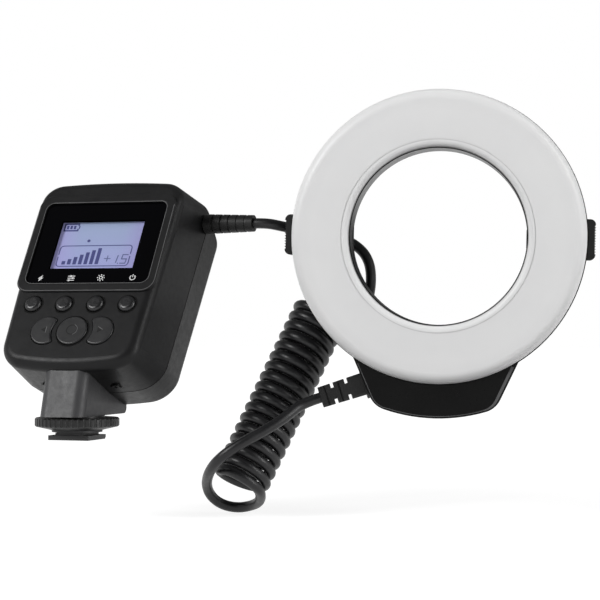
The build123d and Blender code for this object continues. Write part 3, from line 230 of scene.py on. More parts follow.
def textured(name, light, dark, grain, depth, gloss, specular=0.5, metallic=0.0):
    """Material whose colour, roughness and bump vary, with the grain's size and depth in metres."""
    material, tree, shader = new_material(name)
    place = add_node(tree, "TexCoord", {}).outputs["Object"]
    broad = add_node(tree, "TexNoise", {"Vector": place, "Scale": drift_scale, "Detail": 3})
    drift = add_node(tree, "ValToRGB", {"Fac": broad.outputs["Fac"]})
    for stop, position, colour in zip(drift.color_ramp.elements, drift_band, (dark, light)):
        stop.position = position
        stop.color = (*colour, 1)
    middle = add_node(tree, "TexNoise", {"Vector": place, "Scale": sheen_scale, "Detail": 4})
    fine = add_node(tree, "TexNoise", {"Vector": place, "Scale": 1 / grain, "Detail": 2})
    bump = add_node(tree, "Bump", {"Height": fine.outputs["Fac"], "Strength": 1, "Distance": depth})
    set_inputs(tree, shader, {
        "Base Color": drift.outputs["Color"],
        "Roughness": carry_over(tree, middle.outputs["Fac"], sheen_band, gloss),
        "Normal": bump.outputs["Normal"],
        "Specular IOR Level": specular,
        "Metallic": metallic,
    })
    return material


def grey(value, blue=0.0):
    """Grey colour, with a little more blue."""
    return (value, value, value + blue)


def dress(material, *names):
    """Gives the material to these CAD nodes."""
    for name in names:
        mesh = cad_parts[name].data
        mesh.materials.clear()
        mesh.materials.append(material)


# %% Plastics and rubbers of the outside
case_plastic = textured(
    "case_plastic", grey(0.013, 0.0005), grey(0.010, 0.0005), 0.00045, 0.00003, (0.34, 0.44), 0.18
)
head_plastic = textured("head_plastic", grey(0.0045), grey(0.0030), 0.00045, 0.00002, (0.26, 0.36), 0.12)
button_plastic = textured("button_plastic", grey(0.012, 0.001), grey(0.008, 0.001), 0.0006, 0.00004, (0.24, 0.34))
key_plastic = textured("key_plastic", grey(0.016, 0.001), grey(0.012, 0.001), 0.00035, 0.00002, (0.30, 0.38), 0.42)
neck_plastic = textured("neck_plastic", grey(0.052, 0.002), grey(0.044, 0.002), 0.0004, 0.00003, (0.42, 0.52), 0.40)
wheel_plastic = textured("wheel_plastic", grey(0.014), grey(0.009), 0.0004, 0.00003, (0.34, 0.46), 0.40)
foot_plastic = textured("foot_plastic", grey(0.045, 0.001), grey(0.036, 0.001), 0.0004, 0.00003, (0.40, 0.52), 0.40)
release_plastic = textured("release_plastic", grey(0.009), grey(0.006), 0.00035, 0.00003, (0.36, 0.48), 0.36)
relief_rubber = textured("relief_rubber", grey(0.009), grey(0.006), 0.0004, 0.00003, (0.42, 0.54), 0.36)
cord_rubber = textured("cord_rubber", grey(0.009, 0.001), grey(0.006, 0.001), 0.0005, 0.00002, (0.34, 0.46), 0.42)
screw_black = textured("screw_black", grey(0.020), grey(0.013), 0.0003, 0.00002, (0.28, 0.40), 0.5, 0.6)

dress(case_plastic, "front_shell", "rear_shell", "battery_door")
dress(head_plastic, "head_housing", "head_rear_cover")
dress(button_plastic, "pilot_button", "mode_button", "light_button", "power_button")
dress(key_plastic, "set_button", "left_button", "right_button")
dress(neck_plastic, "foot_neck")
dress(wheel_plastic, "locking_wheel", "neck_collar")
dress(foot_plastic, "shoe_foot", "pressure_washer")
dress(release_plastic, "release_button_left", "release_button_right", "latch_ring_left", "latch_ring_right")
dress(relief_rubber, "unit_strain_relief", "head_strain_relief")
dress(screw_black, "case_screws", "underside_screws", "head_screws")
cord_curve.materials.append(cord_rubber)
print("outside finishes on", len(bpy.data.materials), "materials")

# %% [markdown]
# ## The milky diffuser and what shines behind it
# The front of the ring is a thin white moulding that scatters the light of the lamps. Unlit, it is an even
# white with a soft gloss. A little subsurface scattering softens its edges as real milky plastic does.

# %% White plastics of the ring head
milk_share = 0.15
milk_depth = 0.0012
diffuser_plastic = textured("diffuser_plastic", grey(0.90), grey(0.885, 0.002), 0.0006, 0.00001, (0.34, 0.42), 0.4)
diffuser_tree = diffuser_plastic.node_tree
diffuser_shader = diffuser_tree.nodes["Principled BSDF"]
set_inputs(diffuser_tree, diffuser_shader, {
    "Subsurface Weight": milk_share, "Subsurface Radius": (milk_depth,) * 3, "Subsurface Scale": 1,
})
reflector_white = textured("reflector_white", grey(0.80, -0.01), grey(0.76, -0.01), 0.0005, 0.00001, (0.20, 0.30))
board_white = textured("board_white", grey(0.70, -0.02), grey(0.64, -0.02), 0.0004, 0.00001, (0.35, 0.50))
lamp_resin = textured("lamp_resin", (0.80, 0.70, 0.28), (0.74, 0.62, 0.20), 0.0006, 0.00001, (0.10, 0.20))
dress(diffuser_plastic, "diffuser")
dress(reflector_white, "reflector", "light_guide")
dress(board_white, "led_board")
dress(lamp_resin, "leds")
print("white finishes: diffuser, reflector, board and lamps")

# %% [markdown]
# The moulding is thinner and rounder at its two edges, where studio light catches it. That light is painted into
# its colour: a painted highlight on the lip round the bore, with a painted dark line in its fine groove, and a
# painted highlight on the outer edge. Both are told apart by the distance from the ring's axis. The wall inside
# the bore is in shade, and that shade is painted too.

# %% Painted highlights and shade at the diffuser's edges
ring_middle = Vector((0.1455, 0.0506, 0.0869))
ring_ahead = Vector((0.218143, -0.975917, 0))
rim_span = (0.038, 0.064)
# Radius and brightness: painted shade in the bore, painted highlight on the lip, a painted dark groove line,
# painted highlight at the outer edge
painted_rim_stops = (
    (0.0384, 0.06), (0.0388, 1.00), (0.0412, 1.00), (0.0415, 0.74), (0.0418, 0.98), (0.0424, 0.97), (0.0540, 0.99),
    (0.0616, 0.96), (0.0632, 1.00),
)

place = add_node(diffuser_tree, "TexCoord", {}).outputs["Object"]
away = add_node(diffuser_tree, "VectorMath", {0: place, 1: ring_middle}, "SUBTRACT")
across = add_node(diffuser_tree, "VectorMath", {0: away.outputs["Vector"], 1: ring_ahead}, "CROSS_PRODUCT")
ring_distance = add_node(diffuser_tree, "VectorMath", {0: across.outputs["Vector"]}, "LENGTH").outputs["Value"]
painted_rim_ramp = add_node(diffuser_tree, "ValToRGB", {"Fac": carry_over(diffuser_tree, ring_distance, rim_span, (0, 1))})
rim_places = [(radius - rim_span[0]) / (rim_span[1] - rim_span[0]) for radius, _ in painted_rim_stops]
for position in rim_places[2:]:
    painted_rim_ramp.color_ramp.elements.new(position)
for stop, position, (_, value) in zip(painted_rim_ramp.color_ramp.elements, rim_places, painted_rim_stops):
    stop.position = position
    stop.color = (*grey(value), 1)
# The ramp multiplies the colour, so the painted highlights and painted shade sit in the base colour
drift = diffuser_shader.inputs["Base Color"].links[0].from_socket
painted_rim_shading = mix_colours(diffuser_tree, 1, drift, painted_rim_ramp.outputs["Color"], "MULTIPLY")
set_inputs(diffuser_tree, diffuser_shader, {"Base Color": painted_rim_shading})
print("rim stops", len(painted_rim_ramp.color_ramp.elements))

# %% [markdown]
# ## Metals, boards and cells inside
# These are only seen when the battery door is open or a piece is taken off, but each still gets its finish:
# nickel for springs and contacts, solder mask for the boards, and a printed sleeve for the cells.

# %% Finishes of the inside
nickel = textured("contact_nickel", (0.62, 0.60, 0.57), (0.52, 0.50, 0.47), 0.0003, 0.00001, (0.18, 0.32), 0.5, 1.0)
brass = textured("contact_brass", (0.72, 0.56, 0.28), (0.62, 0.47, 0.22), 0.0003, 0.00001, (0.18, 0.32), 0.5, 1.0)
steel = textured("screw_steel", grey(0.52, 0.01), grey(0.42, 0.01), 0.0003, 0.00001, (0.22, 0.36), 0.5, 1.0)
board_green = textured("board_green", (0.020, 0.120, 0.050), (0.012, 0.085, 0.034), 0.0005, 0.00002, (0.25, 0.38))
chip_black = textured("chip_black", grey(0.018), grey(0.012), 0.0004, 0.00002, (0.45, 0.60))
tray_plastic = textured("tray_plastic", grey(0.018), grey(0.012), 0.0005, 0.00003, (0.42, 0.56), 0.35)
cell_sleeve = textured("cell_sleeve", (0.40, 0.41, 0.43), (0.32, 0.33, 0.35), 0.0006, 0.00001, (0.22, 0.34))
dress(nickel, "battery_contacts", "battery_springs", "pin_spring", "latch_springs")
dress(brass, "contact_pin")
dress(steel, "board_screws", "tact_switches")
dress(board_green, "main_board", "driver_board")
dress(chip_black, "driver_parts")
dress(tray_plastic, "battery_tray")
dress(cell_sleeve, "aa_cells")

# %% [markdown]
# ## The face of the unit as a drawing board
# The display, its window and the marks on the keys all lie on a face that leans back. A matrix turns places
# on that face, with a width, a height up the face and a lift off it, into places in the model.

# %% Matrix of the leaning face
face_lean = math.radians(33.2)
face_setback = 0.03555
face_up = Vector((0, math.sin(face_lean), math.cos(face_lean)))
face_out = Vector((0, -math.cos(face_lean), math.sin(face_lean)))
face_matrix = Matrix.Translation((0, -face_setback, 0)) @ Matrix(
    (Vector((1, 0, 0)), face_up, face_out)
).transposed().to_4x4()


def face_heights(tree):
    """Sockets with the width and the height up the face of each point of a piece, in metres."""
    place = add_node(tree, "TexCoord", {}).outputs["Object"]
    across = add_node(tree, "SeparateXYZ", {"Vector": place}).outputs["X"]
    height = add_node(tree, "VectorMath", {0: place, 1: face_up}, "DOT_PRODUCT").outputs["Value"]
    return across, work_out(tree, "ADD", height, face_setback * math.sin(face_lean))


# %% [markdown]
# ## The window
# The window is one sheet with a black border printed on its back, so only its middle is clear. The same
# mesh shows both: the alpha is low inside a rectangle that is measured on the leaning face, and full outside.

# %% Window with a printed border
display_half_width = 0.0199
display_half_height = 0.01275
display_middle = 0.1006
printed_black = (0.0015, 0.0015, 0.002, 1)
full_alpha, clear_alpha = 1, 0.04
polish_scale, polish_gloss = 90, (0.04, 0.10)

window_glass, window_tree, window_shader = new_material("window_glass")
window_width, window_height = face_heights(window_tree)


def inside(tree, socket, middle, half):
    """Socket that is 1 where the value is within half of the middle, else 0."""
    away = work_out(tree, "SUBTRACT", socket, middle)
    return work_out(tree, "LESS_THAN", work_out(tree, "ABSOLUTE", away), half)


clear = work_out(
    window_tree, "MULTIPLY", inside(window_tree, window_width, 0, display_half_width),
    inside(window_tree, window_height, display_middle, display_half_height),
)
polish = add_node(window_tree, "TexNoise", {"Scale": polish_scale}).outputs["Fac"]
set_inputs(window_tree, window_shader, {
    "Base Color": printed_black,
    "Alpha": carry_over(window_tree, clear, (0, 1), (full_alpha, clear_alpha)),
    "Roughness": carry_over(window_tree, polish, (0, 1), polish_gloss),
    "Specular IOR Level": 0.06,
})
dress(window_glass, "display_window")
print("clear rectangle", 2 * display_half_width, "by", 2 * display_half_height, "m")

# %% [markdown]
# ## The lit panel
# A backlit liquid-crystal panel is a soft lavender that drifts towards violet near its edges. A ramp up the face
# and a blend towards both sides give that drift. A fine grain breaks it up, and a weak emission keeps it lit.

# %% Lavender panel with a fine grain
lower_lavender, upper_lavender = (0.335, 0.355, 0.640, 1), (0.310, 0.380, 0.560, 1)
side_violet = (0.360, 0.330, 0.640, 1)
violet_span, violet_most = (0.010, 0.0205), 0.8
grain_scale, grain_band = 1800, (0.94, 1.04)
panel_glow = 0.22

panel_glass, panel_tree, panel_shader = new_material("panel_glass")
panel_width, panel_height = face_heights(panel_tree)
display_low, display_high = display_middle - display_half_height, display_middle + display_half_height
panel_ramp = add_node(panel_tree, "ValToRGB", {
    "Fac": carry_over(panel_tree, panel_height, (display_low, display_high), (0, 1)),
})
panel_ramp.color_ramp.elements[0].color = lower_lavender
panel_ramp.color_ramp.elements[1].color = upper_lavender
sideways = work_out(panel_tree, "ABSOLUTE", panel_width)
violet_share = carry_over(panel_tree, sideways, violet_span, (0, violet_most))
lavender = mix_colours(panel_tree, violet_share, panel_ramp.outputs["Color"], side_violet)
panel_noise = add_node(panel_tree, "TexNoise", {"Scale": grain_scale}).outputs["Fac"]
panel_grain = carry_over(panel_tree, panel_noise, (0, 1), grain_band)
shade = add_node(panel_tree, "VectorMath", {0: lavender, "Scale": panel_grain}, "SCALE").outputs["Vector"]
set_inputs(panel_tree, panel_shader, {
    "Base Color": shade, "Emission Color": shade, "Emission Strength": panel_glow, "Roughness": 0.5,
    "Specular IOR Level": 0.2,
})
dress(panel_glass, "display_panel")
print("panel from", round(display_low, 4), "to", round(display_high, 4), "up the face")

# %% [markdown]
# ## Thin printed marks
# Segments of a display and printed icons have no thickness to speak of. They are drawn flat on the face with
# grids and spun edges, then carried to their place by the face's matrix, a hair above what they are printed on.

# %% Helpers for flat marks
def bar(drawing, left, low, right, high, lean=0.0):
    """Flat bar between two corners, with its top shifted by the lean."""
    made = bmesh.ops.create_grid(drawing, x_segments=1, y_segments=1, size=0.5)["verts"]
    bmesh.ops.scale(drawing, verts=made, vec=(right - left, high - low, 1))
    bmesh.ops.translate(drawing, verts=made, vec=((left + right) / 2, (low + high) / 2, 0))
    for vert in made:
        vert.co.x += lean * (vert.co.y - low) / (high - low)


def arc(drawing, centre, inner, outer, start, sweep, steps=12):
    """Flat band swept round a centre, from a start angle in degrees."""
    way = Vector((math.cos(math.radians(start)), math.sin(math.radians(start)), 0))
    middle = Vector((*centre, 0))
    ends = [drawing.verts.new(middle + way * inner), drawing.verts.new(middle + way * outer)]
    edge = drawing.edges.new(ends)
    bmesh.ops.spin(
        drawing, geom=ends + [edge], cent=middle, axis=(0, 0, 1), angle=math.radians(sweep), steps=steps,
        use_merge=sweep == 360,
    )


def rounded_line(drawing, middle, half_width, half_height, corner, width, rises=(-1, 1)):
    """Flat line along a rectangle with rounded corners, or round its lower half only."""
    for rise in rises:
        edge = sorted((rise * half_height, rise * (half_height - width)))
        bar(drawing, corner - half_width, middle + edge[0], half_width - corner, middle + edge[1])
    for side in (-1, 1):
        edge = sorted((side * half_width, side * (half_width - width)))
        bar(drawing, edge[0], middle - half_height + corner, edge[1], middle + half_height - corner)
        for rise in rises:
            place = (side * (half_width - corner), middle + rise * (half_height - corner))
            start = math.degrees(math.atan2(rise, side)) - 45
            arc(drawing, place, corner - width, corner, start, 90, 8)


def shape(drawing, corners):
    """Flat face through a few corners."""
    drawing.faces.new([drawing.verts.new((x, y, 0)) for x, y in corners])


mark_thickness = 0.00004
weld_distance = 1e-6


def print_mark(drawing, name, body, material, lift, shift=(0, 0), base=face_matrix):
    """Gives a flat drawing a hair of thickness and a finish, on the face or another base, at a lift."""
    bmesh.ops.remove_doubles(drawing, verts=drawing.verts, dist=weld_distance)
    bmesh.ops.recalc_face_normals(drawing, faces=drawing.faces)
    flipped = [face for face in drawing.faces if face.normal.z < 0]
    bmesh.ops.reverse_faces(drawing, faces=flipped)
    grown = bmesh.ops.extrude_face_region(drawing, geom=drawing.faces[:])["geom"]
    top = [part for part in grown if isinstance(part, bmesh.types.BMVert)]
    bmesh.ops.translate(drawing, verts=top, vec=(0, 0, mark_thickness))
    bmesh.ops.recalc_face_normals(drawing, faces=drawing.faces)
    bmesh.ops.transform(drawing, matrix=base @ Matrix.Translation((*shift, lift)), verts=drawing.verts)
    mesh = bpy.data.meshes.new(name)
    drawing.to_mesh(mesh)
    drawing.free()
    mesh.materials.append(material)
    piece = bpy.data.objects.new(name, mesh)
    bpy.context.scene.collection.objects.link(piece)
    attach(piece, body)
    print(name, "faces", len(mesh.polygons))


ink_depth = 0.000002


def ink(name, light, dark, grain=0.0004, gloss=(0.40, 0.50), specular=0.3):
    """Finish of a printed mark, almost smooth."""
    return textured(name, light, dark, grain, ink_depth, gloss, specular)


segment_ink = ink("segment_ink", (0.085, 0.095, 0.270), (0.070, 0.078, 0.235), specular=0.2)
faint_ink = ink("faint_ink", (0.130, 0.160, 0.330), (0.115, 0.140, 0.300), specular=0.2)
label_ink = ink("label_ink", grey(0.80), grey(0.72), grain=0.0003)

# %% [markdown]
# ## What the display shows
# The display shows a battery, a dot, a rounded frame that is broken at its sides, seven rising bars, a plus and
# two plain digits. The digits are built from seven segments, as the glass itself does it.

# %% Battery and dot, as bars given by their left, low, right and high sides
panel_lift = -0.00229
panel_shift = (-0.0011, 0.0014)
battery_walls = (
    (-0.0178, 0.1079, -0.0117, 0.10865), (-0.0178, 0.11145, -0.0117, 0.1122), (-0.0184, 0.1079, -0.0177, 0.1122),
    (-0.0118, 0.1079, -0.0111, 0.1093), (-0.0118, 0.1108, -0.0111, 0.1122), (-0.0112, 0.1092, -0.0107, 0.1109),
)
charge_lefts = (-0.0171, -0.0154, -0.0137)
charge_width = 0.0011
charge_low, charge_high = 0.1091, 0.1110
dot_middle, dot_radius = (-0.0045, 0.1026), 0.00075

battery_marks = bmesh.new()
for sides in battery_walls:
    bar(battery_marks, *sides)
for left in charge_lefts:
    bar(battery_marks, left, charge_low, left + charge_width, charge_high)
arc(battery_marks, dot_middle, 0.0, dot_radius, 0, 360, 20)
print_mark(battery_marks, "battery_sign", "unit", segment_ink, panel_lift, panel_shift)

# %% Frame with a break in each side
line = 0.00042
frame_half = 0.0174
frame_low, frame_high = 0.0889, 0.1002
frame_corner = 0.0018
break_low, break_high = 0.0942, 0.0953

frame_marks = bmesh.new()
for height in (frame_low, frame_high - line):
    bar(frame_marks, -frame_half + frame_corner, height, frame_half - frame_corner, height + line)
for side in (-1, 1):
    edge_out, edge_in = side * frame_half, side * (frame_half - line)
    left, right = min(edge_out, edge_in), max(edge_out, edge_in)
    bar(frame_marks, left, frame_low + frame_corner, right, break_low)
    bar(frame_marks, left, break_high, right, frame_high - frame_corner)
    for height, start in ((frame_high - frame_corner, 0 if side > 0 else 90),
                          (frame_low + frame_corner, 270 if side > 0 else 180)):
        corner_place = (side * (frame_half - frame_corner), height)
        arc(frame_marks, corner_place, frame_corner - line, frame_corner, start, 90, 6)
print_mark(frame_marks, "display_frame", "unit", segment_ink, panel_lift, panel_shift)

# %% Rising bars
bar_pitch, bar_width = 0.00266, 0.0017
first_left, bars_low = -0.0147, 0.0901
bar_tops = (0.0919, 0.0929, 0.0940, 0.0952, 0.0964, 0.0975, 0.0986)

level_bars = bmesh.new()
for i, top in enumerate(bar_tops):
    left = first_left + bar_pitch * i
    bar(level_bars, left, bars_low, left + bar_width, top)
print_mark(level_bars, "level_bars", "unit", segment_ink, panel_lift, panel_shift)

# %% Plus sign and digits
segments_of = {"1": "bc", "5": "afgcd"}
stroke = 0.00048
lean = 0.0005
digits_low, digit_height = 0.0902, 0.0050
plus_bars = (
    (0.0052, 0.0928, 0.0083, 0.0932), (0.00655, 0.0914, 0.00695, 0.0928), (0.00655, 0.0932, 0.00695, 0.0946),
)
point_left, point_size = 0.0120, 0.0005


def digit(drawing, figure, left, width, low=digits_low, height=digit_height):
    """One figure of seven segments, leaning a little to the right."""
    half = height / 2
    places = {
        "a": (left, low + height - stroke, left + width, low + height),
        "b": (left + width - stroke, low + half, left + width, low + height - stroke),
        "c": (left + width - stroke, low + stroke, left + width, low + half),
        "d": (left, low, left + width, low + stroke),
        "f": (left, low + half, left + stroke, low + height - stroke),
        "g": (left, low + half - stroke / 2, left + width, low + half + stroke / 2),
    }
    for name in segments_of[figure]:
        x0, y0, x1, y1 = places[name]
        slant = lean * (y1 - y0) / height
        shift = lean * (y0 - low) / height
        bar(drawing, x0 + shift, y0, x1 + shift, y1, slant)


value_marks = bmesh.new()
for sides in plus_bars:
    bar(value_marks, *sides)
digit(value_marks, "1", left=0.0088, width=0.0026)
bar(value_marks, point_left, digits_low, point_left + point_size, digits_low + point_size)
digit(value_marks, "5", left=0.0131, width=0.0028)
print_mark(value_marks, "value_digits", "unit", faint_ink, panel_lift, panel_shift)

# %% [markdown]
# ## Icons under the display
# A small white icon above each round button says what it does: a spark, three levels, a lamp with rays, and the
# usual standby ring. They are drawn small and enlarged about their middles, then printed on the window.

# %% Four white icons
icon_growth = 1.2
window_lift = -0.00014
label_height = 0.0828
icon_places = (-0.0224, -0.0077, 0.0064, 0.0213)


def print_icon(drawing, name, middle):
    """Enlarges a drawing about its middle and prints it on the window."""
    about = Matrix.Translation((-middle, -label_height, 0))
    bmesh.ops.scale(drawing, vec=(icon_growth, icon_growth, 1), space=about, verts=drawing.verts)
    print_mark(drawing, name, "unit", label_ink, window_lift)


# %% Spark, as two equal halves
half_spark = ((0.0007, 0.0014), (-0.0011, -0.0002), (-0.0001, -0.0002), (0.0004, 0.0002))

spark = bmesh.new()
x, y = icon_places[0], label_height
for turn in (1, -1):
    shape(spark, [(x + turn * across, y + turn * up) for across, up in half_spark])
print_icon(spark, "icon_spark", x)

# %% Three levels, each a line with a knob
level_half, level_height = 0.0014, 0.0003
level_start, level_pitch = -0.00115, 0.0009
knob_half, knob_rise = 0.0003, 0.0002

levels = bmesh.new()
x = icon_places[1]
for i, knob in enumerate((-0.0007, 0.0006, -0.0002)):
    low = y + level_start + level_pitch * i
    high = low + level_height
    bar(levels, x - level_half, low, x + level_half, high)
    bar(levels, x + knob - knob_half, low - knob_rise, x + knob + knob_half, low)
    bar(levels, x + knob - knob_half, high, x + knob + knob_half, high + knob_rise)
print_icon(levels, "icon_levels", x)

# %% Lamp with rays
bulb_inner, bulb_outer = 0.00045, 0.00078
ray_inner, ray_outer = 0.00105, 0.0015
ray_count, ray_sweep = 8, 18

lamp = bmesh.new()
x = icon_places[2]
arc(lamp, (x, y), bulb_inner, bulb_outer, 0, 360, 24)
for i in range(ray_count):
    arc(lamp, (x, y), ray_inner, ray_outer, 360 / ray_count * i - ray_sweep / 2, ray_sweep, 2)
print_icon(lamp, "icon_lamp", x)

# %% Standby ring, open at the top round its bar
loop_inner, loop_outer = 0.00085, 0.00118
loop_start, loop_sweep = 125, 290
stem_half, stem_low, stem_high = 0.00016, 0.0001, 0.0014

standby = bmesh.new()
x = icon_places[3]
arc(standby, (x, y), loop_inner, loop_outer, loop_start, loop_sweep, 24)
bar(standby, x - stem_half, y + stem_low, x + stem_half, y + stem_high)
print_icon(standby, "icon_standby", x)

# %% [markdown]
# ## Lit edges of the raised frame
# The frame round the window has a rolled outer edge and a crisp inner one. Studio light catches both as thin
# lines. A rolled edge this small takes few pixels, so each highlight is painted on as a hair line of paler grey
# laid along it. The outer line is left off along the top, where the edge turns away from the light.

# %% Two painted highlight lines on the frame
# Painted highlight: paler grey that stands in for light on the frame's edges
painted_edge_highlight = ink("painted_edge_highlight", grey(0.150, 0.002), grey(0.115, 0.002))
frame_lift = 0.00090
frame_middle = 0.1010
frame_highlight_width = 0.00024
for name, half_width, half_height, corner, rises in (
    ("frame_outer_highlight", 0.03245, 0.02545, 0.0057, (-1,)), ("frame_inner_highlight", 0.02940, 0.02180, 0.0038, (-1, 1)),
):
    line_drawing = bmesh.new()
    rounded_line(line_drawing, frame_middle, half_width, half_height, corner, frame_highlight_width, rises)
    print_mark(line_drawing, name, "unit", painted_edge_highlight, frame_lift)

# %% [markdown]
# ## Painted shadows round the buttons
# Each round button and the middle key stand in a hole with a small dished rim, which holds shade on its lower
# right side. The dish is too shallow to model as a solid, so a thin crescent of painted shadow lies round each
# hole, wider on the lower right.

# %% Painted shadow crescents round the holes
# Painted shadow: near-black crescents that stand in for shade in the dished rims
moat_shadow_paint = ink("moat_shadow_paint", grey(0.0035), grey(0.0025), gloss=(0.5, 0.6), specular=0.1)
narrow_shadow, wide_shadow = 0.00028, 0.00065
button_row, button_pitch, button_hole = 0.0691, 0.01473, 0.0042
key_row, key_hole = 0.0554, 0.0073

moat_shadows = bmesh.new()
moat_places = [(button_pitch * step, button_row, button_hole) for step in (-1.5, -0.5, 0.5, 1.5)]
for across, height, radius in moat_places + [(0, key_row, key_hole)]:
    arc(moat_shadows, (across, height), radius, radius + narrow_shadow, 45, 180, 24)
    arc(moat_shadows, (across, height), radius, radius + wide_shadow, 225, 180, 24)
print_mark(moat_shadows, "button_moat_shadows", "unit", moat_shadow_paint, 0)

# %% [markdown]
# ## Marks on the keys
# The side keys carry sunk triangles and the middle key a plain sunk ring. A sunk mark shows as a shaded shape
# with one lit edge, so each is drawn twice: painted shade for its floor, and a painted highlight as a thin light
# line along its right side. On the right key that side of the triangle is its slanted upper edge.

# %% Triangles and ring, as painted shade and painted highlights
key_lift = 0.00070
key_place = 0.0132
tip, back, rise = 0.0012, 0.0011, 0.0014
mark_inner, mark_outer, edge_outer = 0.0021, 0.0025, 0.00265
sunk_shade_paint = ink("sunk_shade_paint", grey(0.010), grey(0.007), gloss=(0.5, 0.6), specular=0.2)
sunk_highlight_paint = ink("sunk_highlight_paint", grey(0.190, 0.002), grey(0.150, 0.002), specular=0.4)
key_middle = 0.0556
for side, body in ((-1, "left_button"), (1, "right_button")):
    x = side * key_place
    # Painted shade on the sunk floor of the triangle
    dark = bmesh.new()
    far = x - side * back
    shape(dark, [(x + side * tip, key_middle), (far, key_middle + rise), (far, key_middle - rise)])
    print_mark(dark, f"{body}_mark", body, sunk_shade_paint, key_lift)
    # Painted highlight on the triangle's lit side
    edge = bmesh.new()
    if side < 0:
        bar(edge, x + 0.0011, key_middle - 0.0015, x + 0.0013, key_middle + 0.0015)
    else:
        shape(edge, [(x - 0.0011, key_middle + 0.0014), (x + 0.0012, key_middle), (x + 0.0014, key_middle + 0.0001),
                     (x - 0.0010, key_middle + 0.0016)])
    print_mark(edge, f"{body}_edge", body, sunk_highlight_paint, key_lift)

# Painted shade in the sunk ring, then a painted highlight on its right side
ring_shade = bmesh.new()
arc(ring_shade, (0, key_middle), mark_inner, mark_outer, 0, 360, 32)
print_mark(ring_shade, "set_mark_shade", "set_button", sunk_shade_paint, key_lift)
ring_highlight = bmesh.new()
arc(ring_highlight, (0, key_middle), mark_outer, edge_outer, -70, 140, 20)
print_mark(ring_highlight, "set_edge_highlight", "set_button", sunk_highlight_paint, key_lift)

# %% [markdown]
# ## Lit edges of the block
# The block under the ring is glossy black, so almost only its lit edges show. They are painted on: a thin line of
# painted highlight at its left and bottom, and a wider pale band of painted reflection down its right side. Both
# follow the block's outline on its front plane, which is a straight side, a rounded corner and a bowed bottom.
# Only what lies outside the ring is kept, and then it is mirrored.

# %% Outline of the block, in the ring's plane
ring_radius = 0.0642
block_side = Vector((0.0383, -0.0470))
block_low = Vector((0.0263, -0.0734))
block_bow = 0.0783
corner_cut = 0.0041
side_steps, corner_steps, bow_steps = 6, 8, 12

bow_rise = block_bow + block_low.y
bow_radius = (block_low.x ** 2 + bow_rise ** 2) / (2 * bow_rise)
bow_middle = Vector((0, bow_radius - block_bow))
outline = [block_side.lerp(block_low, step / side_steps) for step in range(side_steps)]
corner_in = block_low + (block_side - block_low).normalized() * corner_cut
spoke = block_low - bow_middle
corner_out = block_low + Vector((spoke.y, -spoke.x)).normalized() * corner_cut
for step in range(corner_steps + 1):
    share = step / corner_steps
    outline.append(corner_in * (1 - share) ** 2 + block_low * 2 * share * (1 - share) + corner_out * share ** 2)
end_angle = math.atan2((corner_out - bow_middle).x, -(corner_out - bow_middle).y)
for step in range(bow_steps - 1, -1, -1):
    angle = end_angle * step / bow_steps
    outline.append(bow_middle + Vector((math.sin(angle), -math.cos(angle))) * bow_radius)
outline = [point for point in outline if point.length > ring_radius]
outline += [Vector((-point.x, point.y)) for point in reversed(outline[:-1])]
print("outline points", len(outline))

# %% Painted highlight band along the outline
block_heart = Vector((0, -0.06))
strip_inset = 0.0008
thin_strip, strip_growth = 0.0003, 0.0009
growth_start, growth_span = 0.020, 0.008
block_depth = 0.004
ring_roll = math.radians(-1.3)

highlight_strip = bmesh.new()
rows = []
for i, point in enumerate(outline):
    ahead = outline[min(i + 1, len(outline) - 1)] - outline[max(i - 1, 0)]
    inward = Vector((ahead.y, -ahead.x)).normalized()
    if inward.dot(block_heart - point) < 0:
        inward = -inward
    width = thin_strip + strip_growth * min(1, max(0, (point.x - growth_start) / growth_span))
    rows.append([highlight_strip.verts.new((*(point + inward * reach), 0)) for reach in (strip_inset, strip_inset + width)])
for here, there in zip(rows, rows[1:]):
    highlight_strip.faces.new([here[0], here[1], there[1], there[0]])
ring_right = Vector((-ring_ahead.y, ring_ahead.x, 0))
ring_matrix = Matrix.Translation(ring_middle - ring_ahead * block_depth) @ Matrix(
    (ring_right, Vector((0, 0, 1)), ring_ahead)
).transposed().to_4x4() @ Matrix.Rotation(ring_roll, 4, "Z")
# Painted highlight and painted reflection on the block's edges, in pale grey
block_highlight_paint = ink("block_highlight_paint", grey(0.105, 0.002), grey(0.080, 0.002))
print_mark(highlight_strip, "block_edge_highlight", "unit", block_highlight_paint, 0, base=ring_matrix)

# %% [markdown]
# ## The stage
# Product pictures are taken on a pale sweep. The floor lies just under the lowest point of the model. For the
# camera it is white where it is lit, so only a soft shadow shows on it; for other rays it is plain grey paint. Far
# from the object, where the lamps are weak, it glows a little more, so that it meets the room without a line.

# %% Floor
floor_gap = 0.0006
floor_level = cad_box[0][2] - floor_gap
floor_mesh = bpy.data.meshes.new("floor")
floor_drawing = bmesh.new()
bmesh.ops.create_grid(floor_drawing, x_segments=1, y_segments=1, size=6)
bmesh.ops.translate(floor_drawing, verts=floor_drawing.verts, vec=(0, 0, floor_level))
floor_drawing.to_mesh(floor_mesh)
floor_drawing.free()
floor = bpy.data.objects.new("floor", floor_mesh)
bpy.context.scene.collection.objects.link(floor)

paint_grey = 0.38
glow_reach, glow_strength = (0.30, 1.20), (0.83, 1.00)

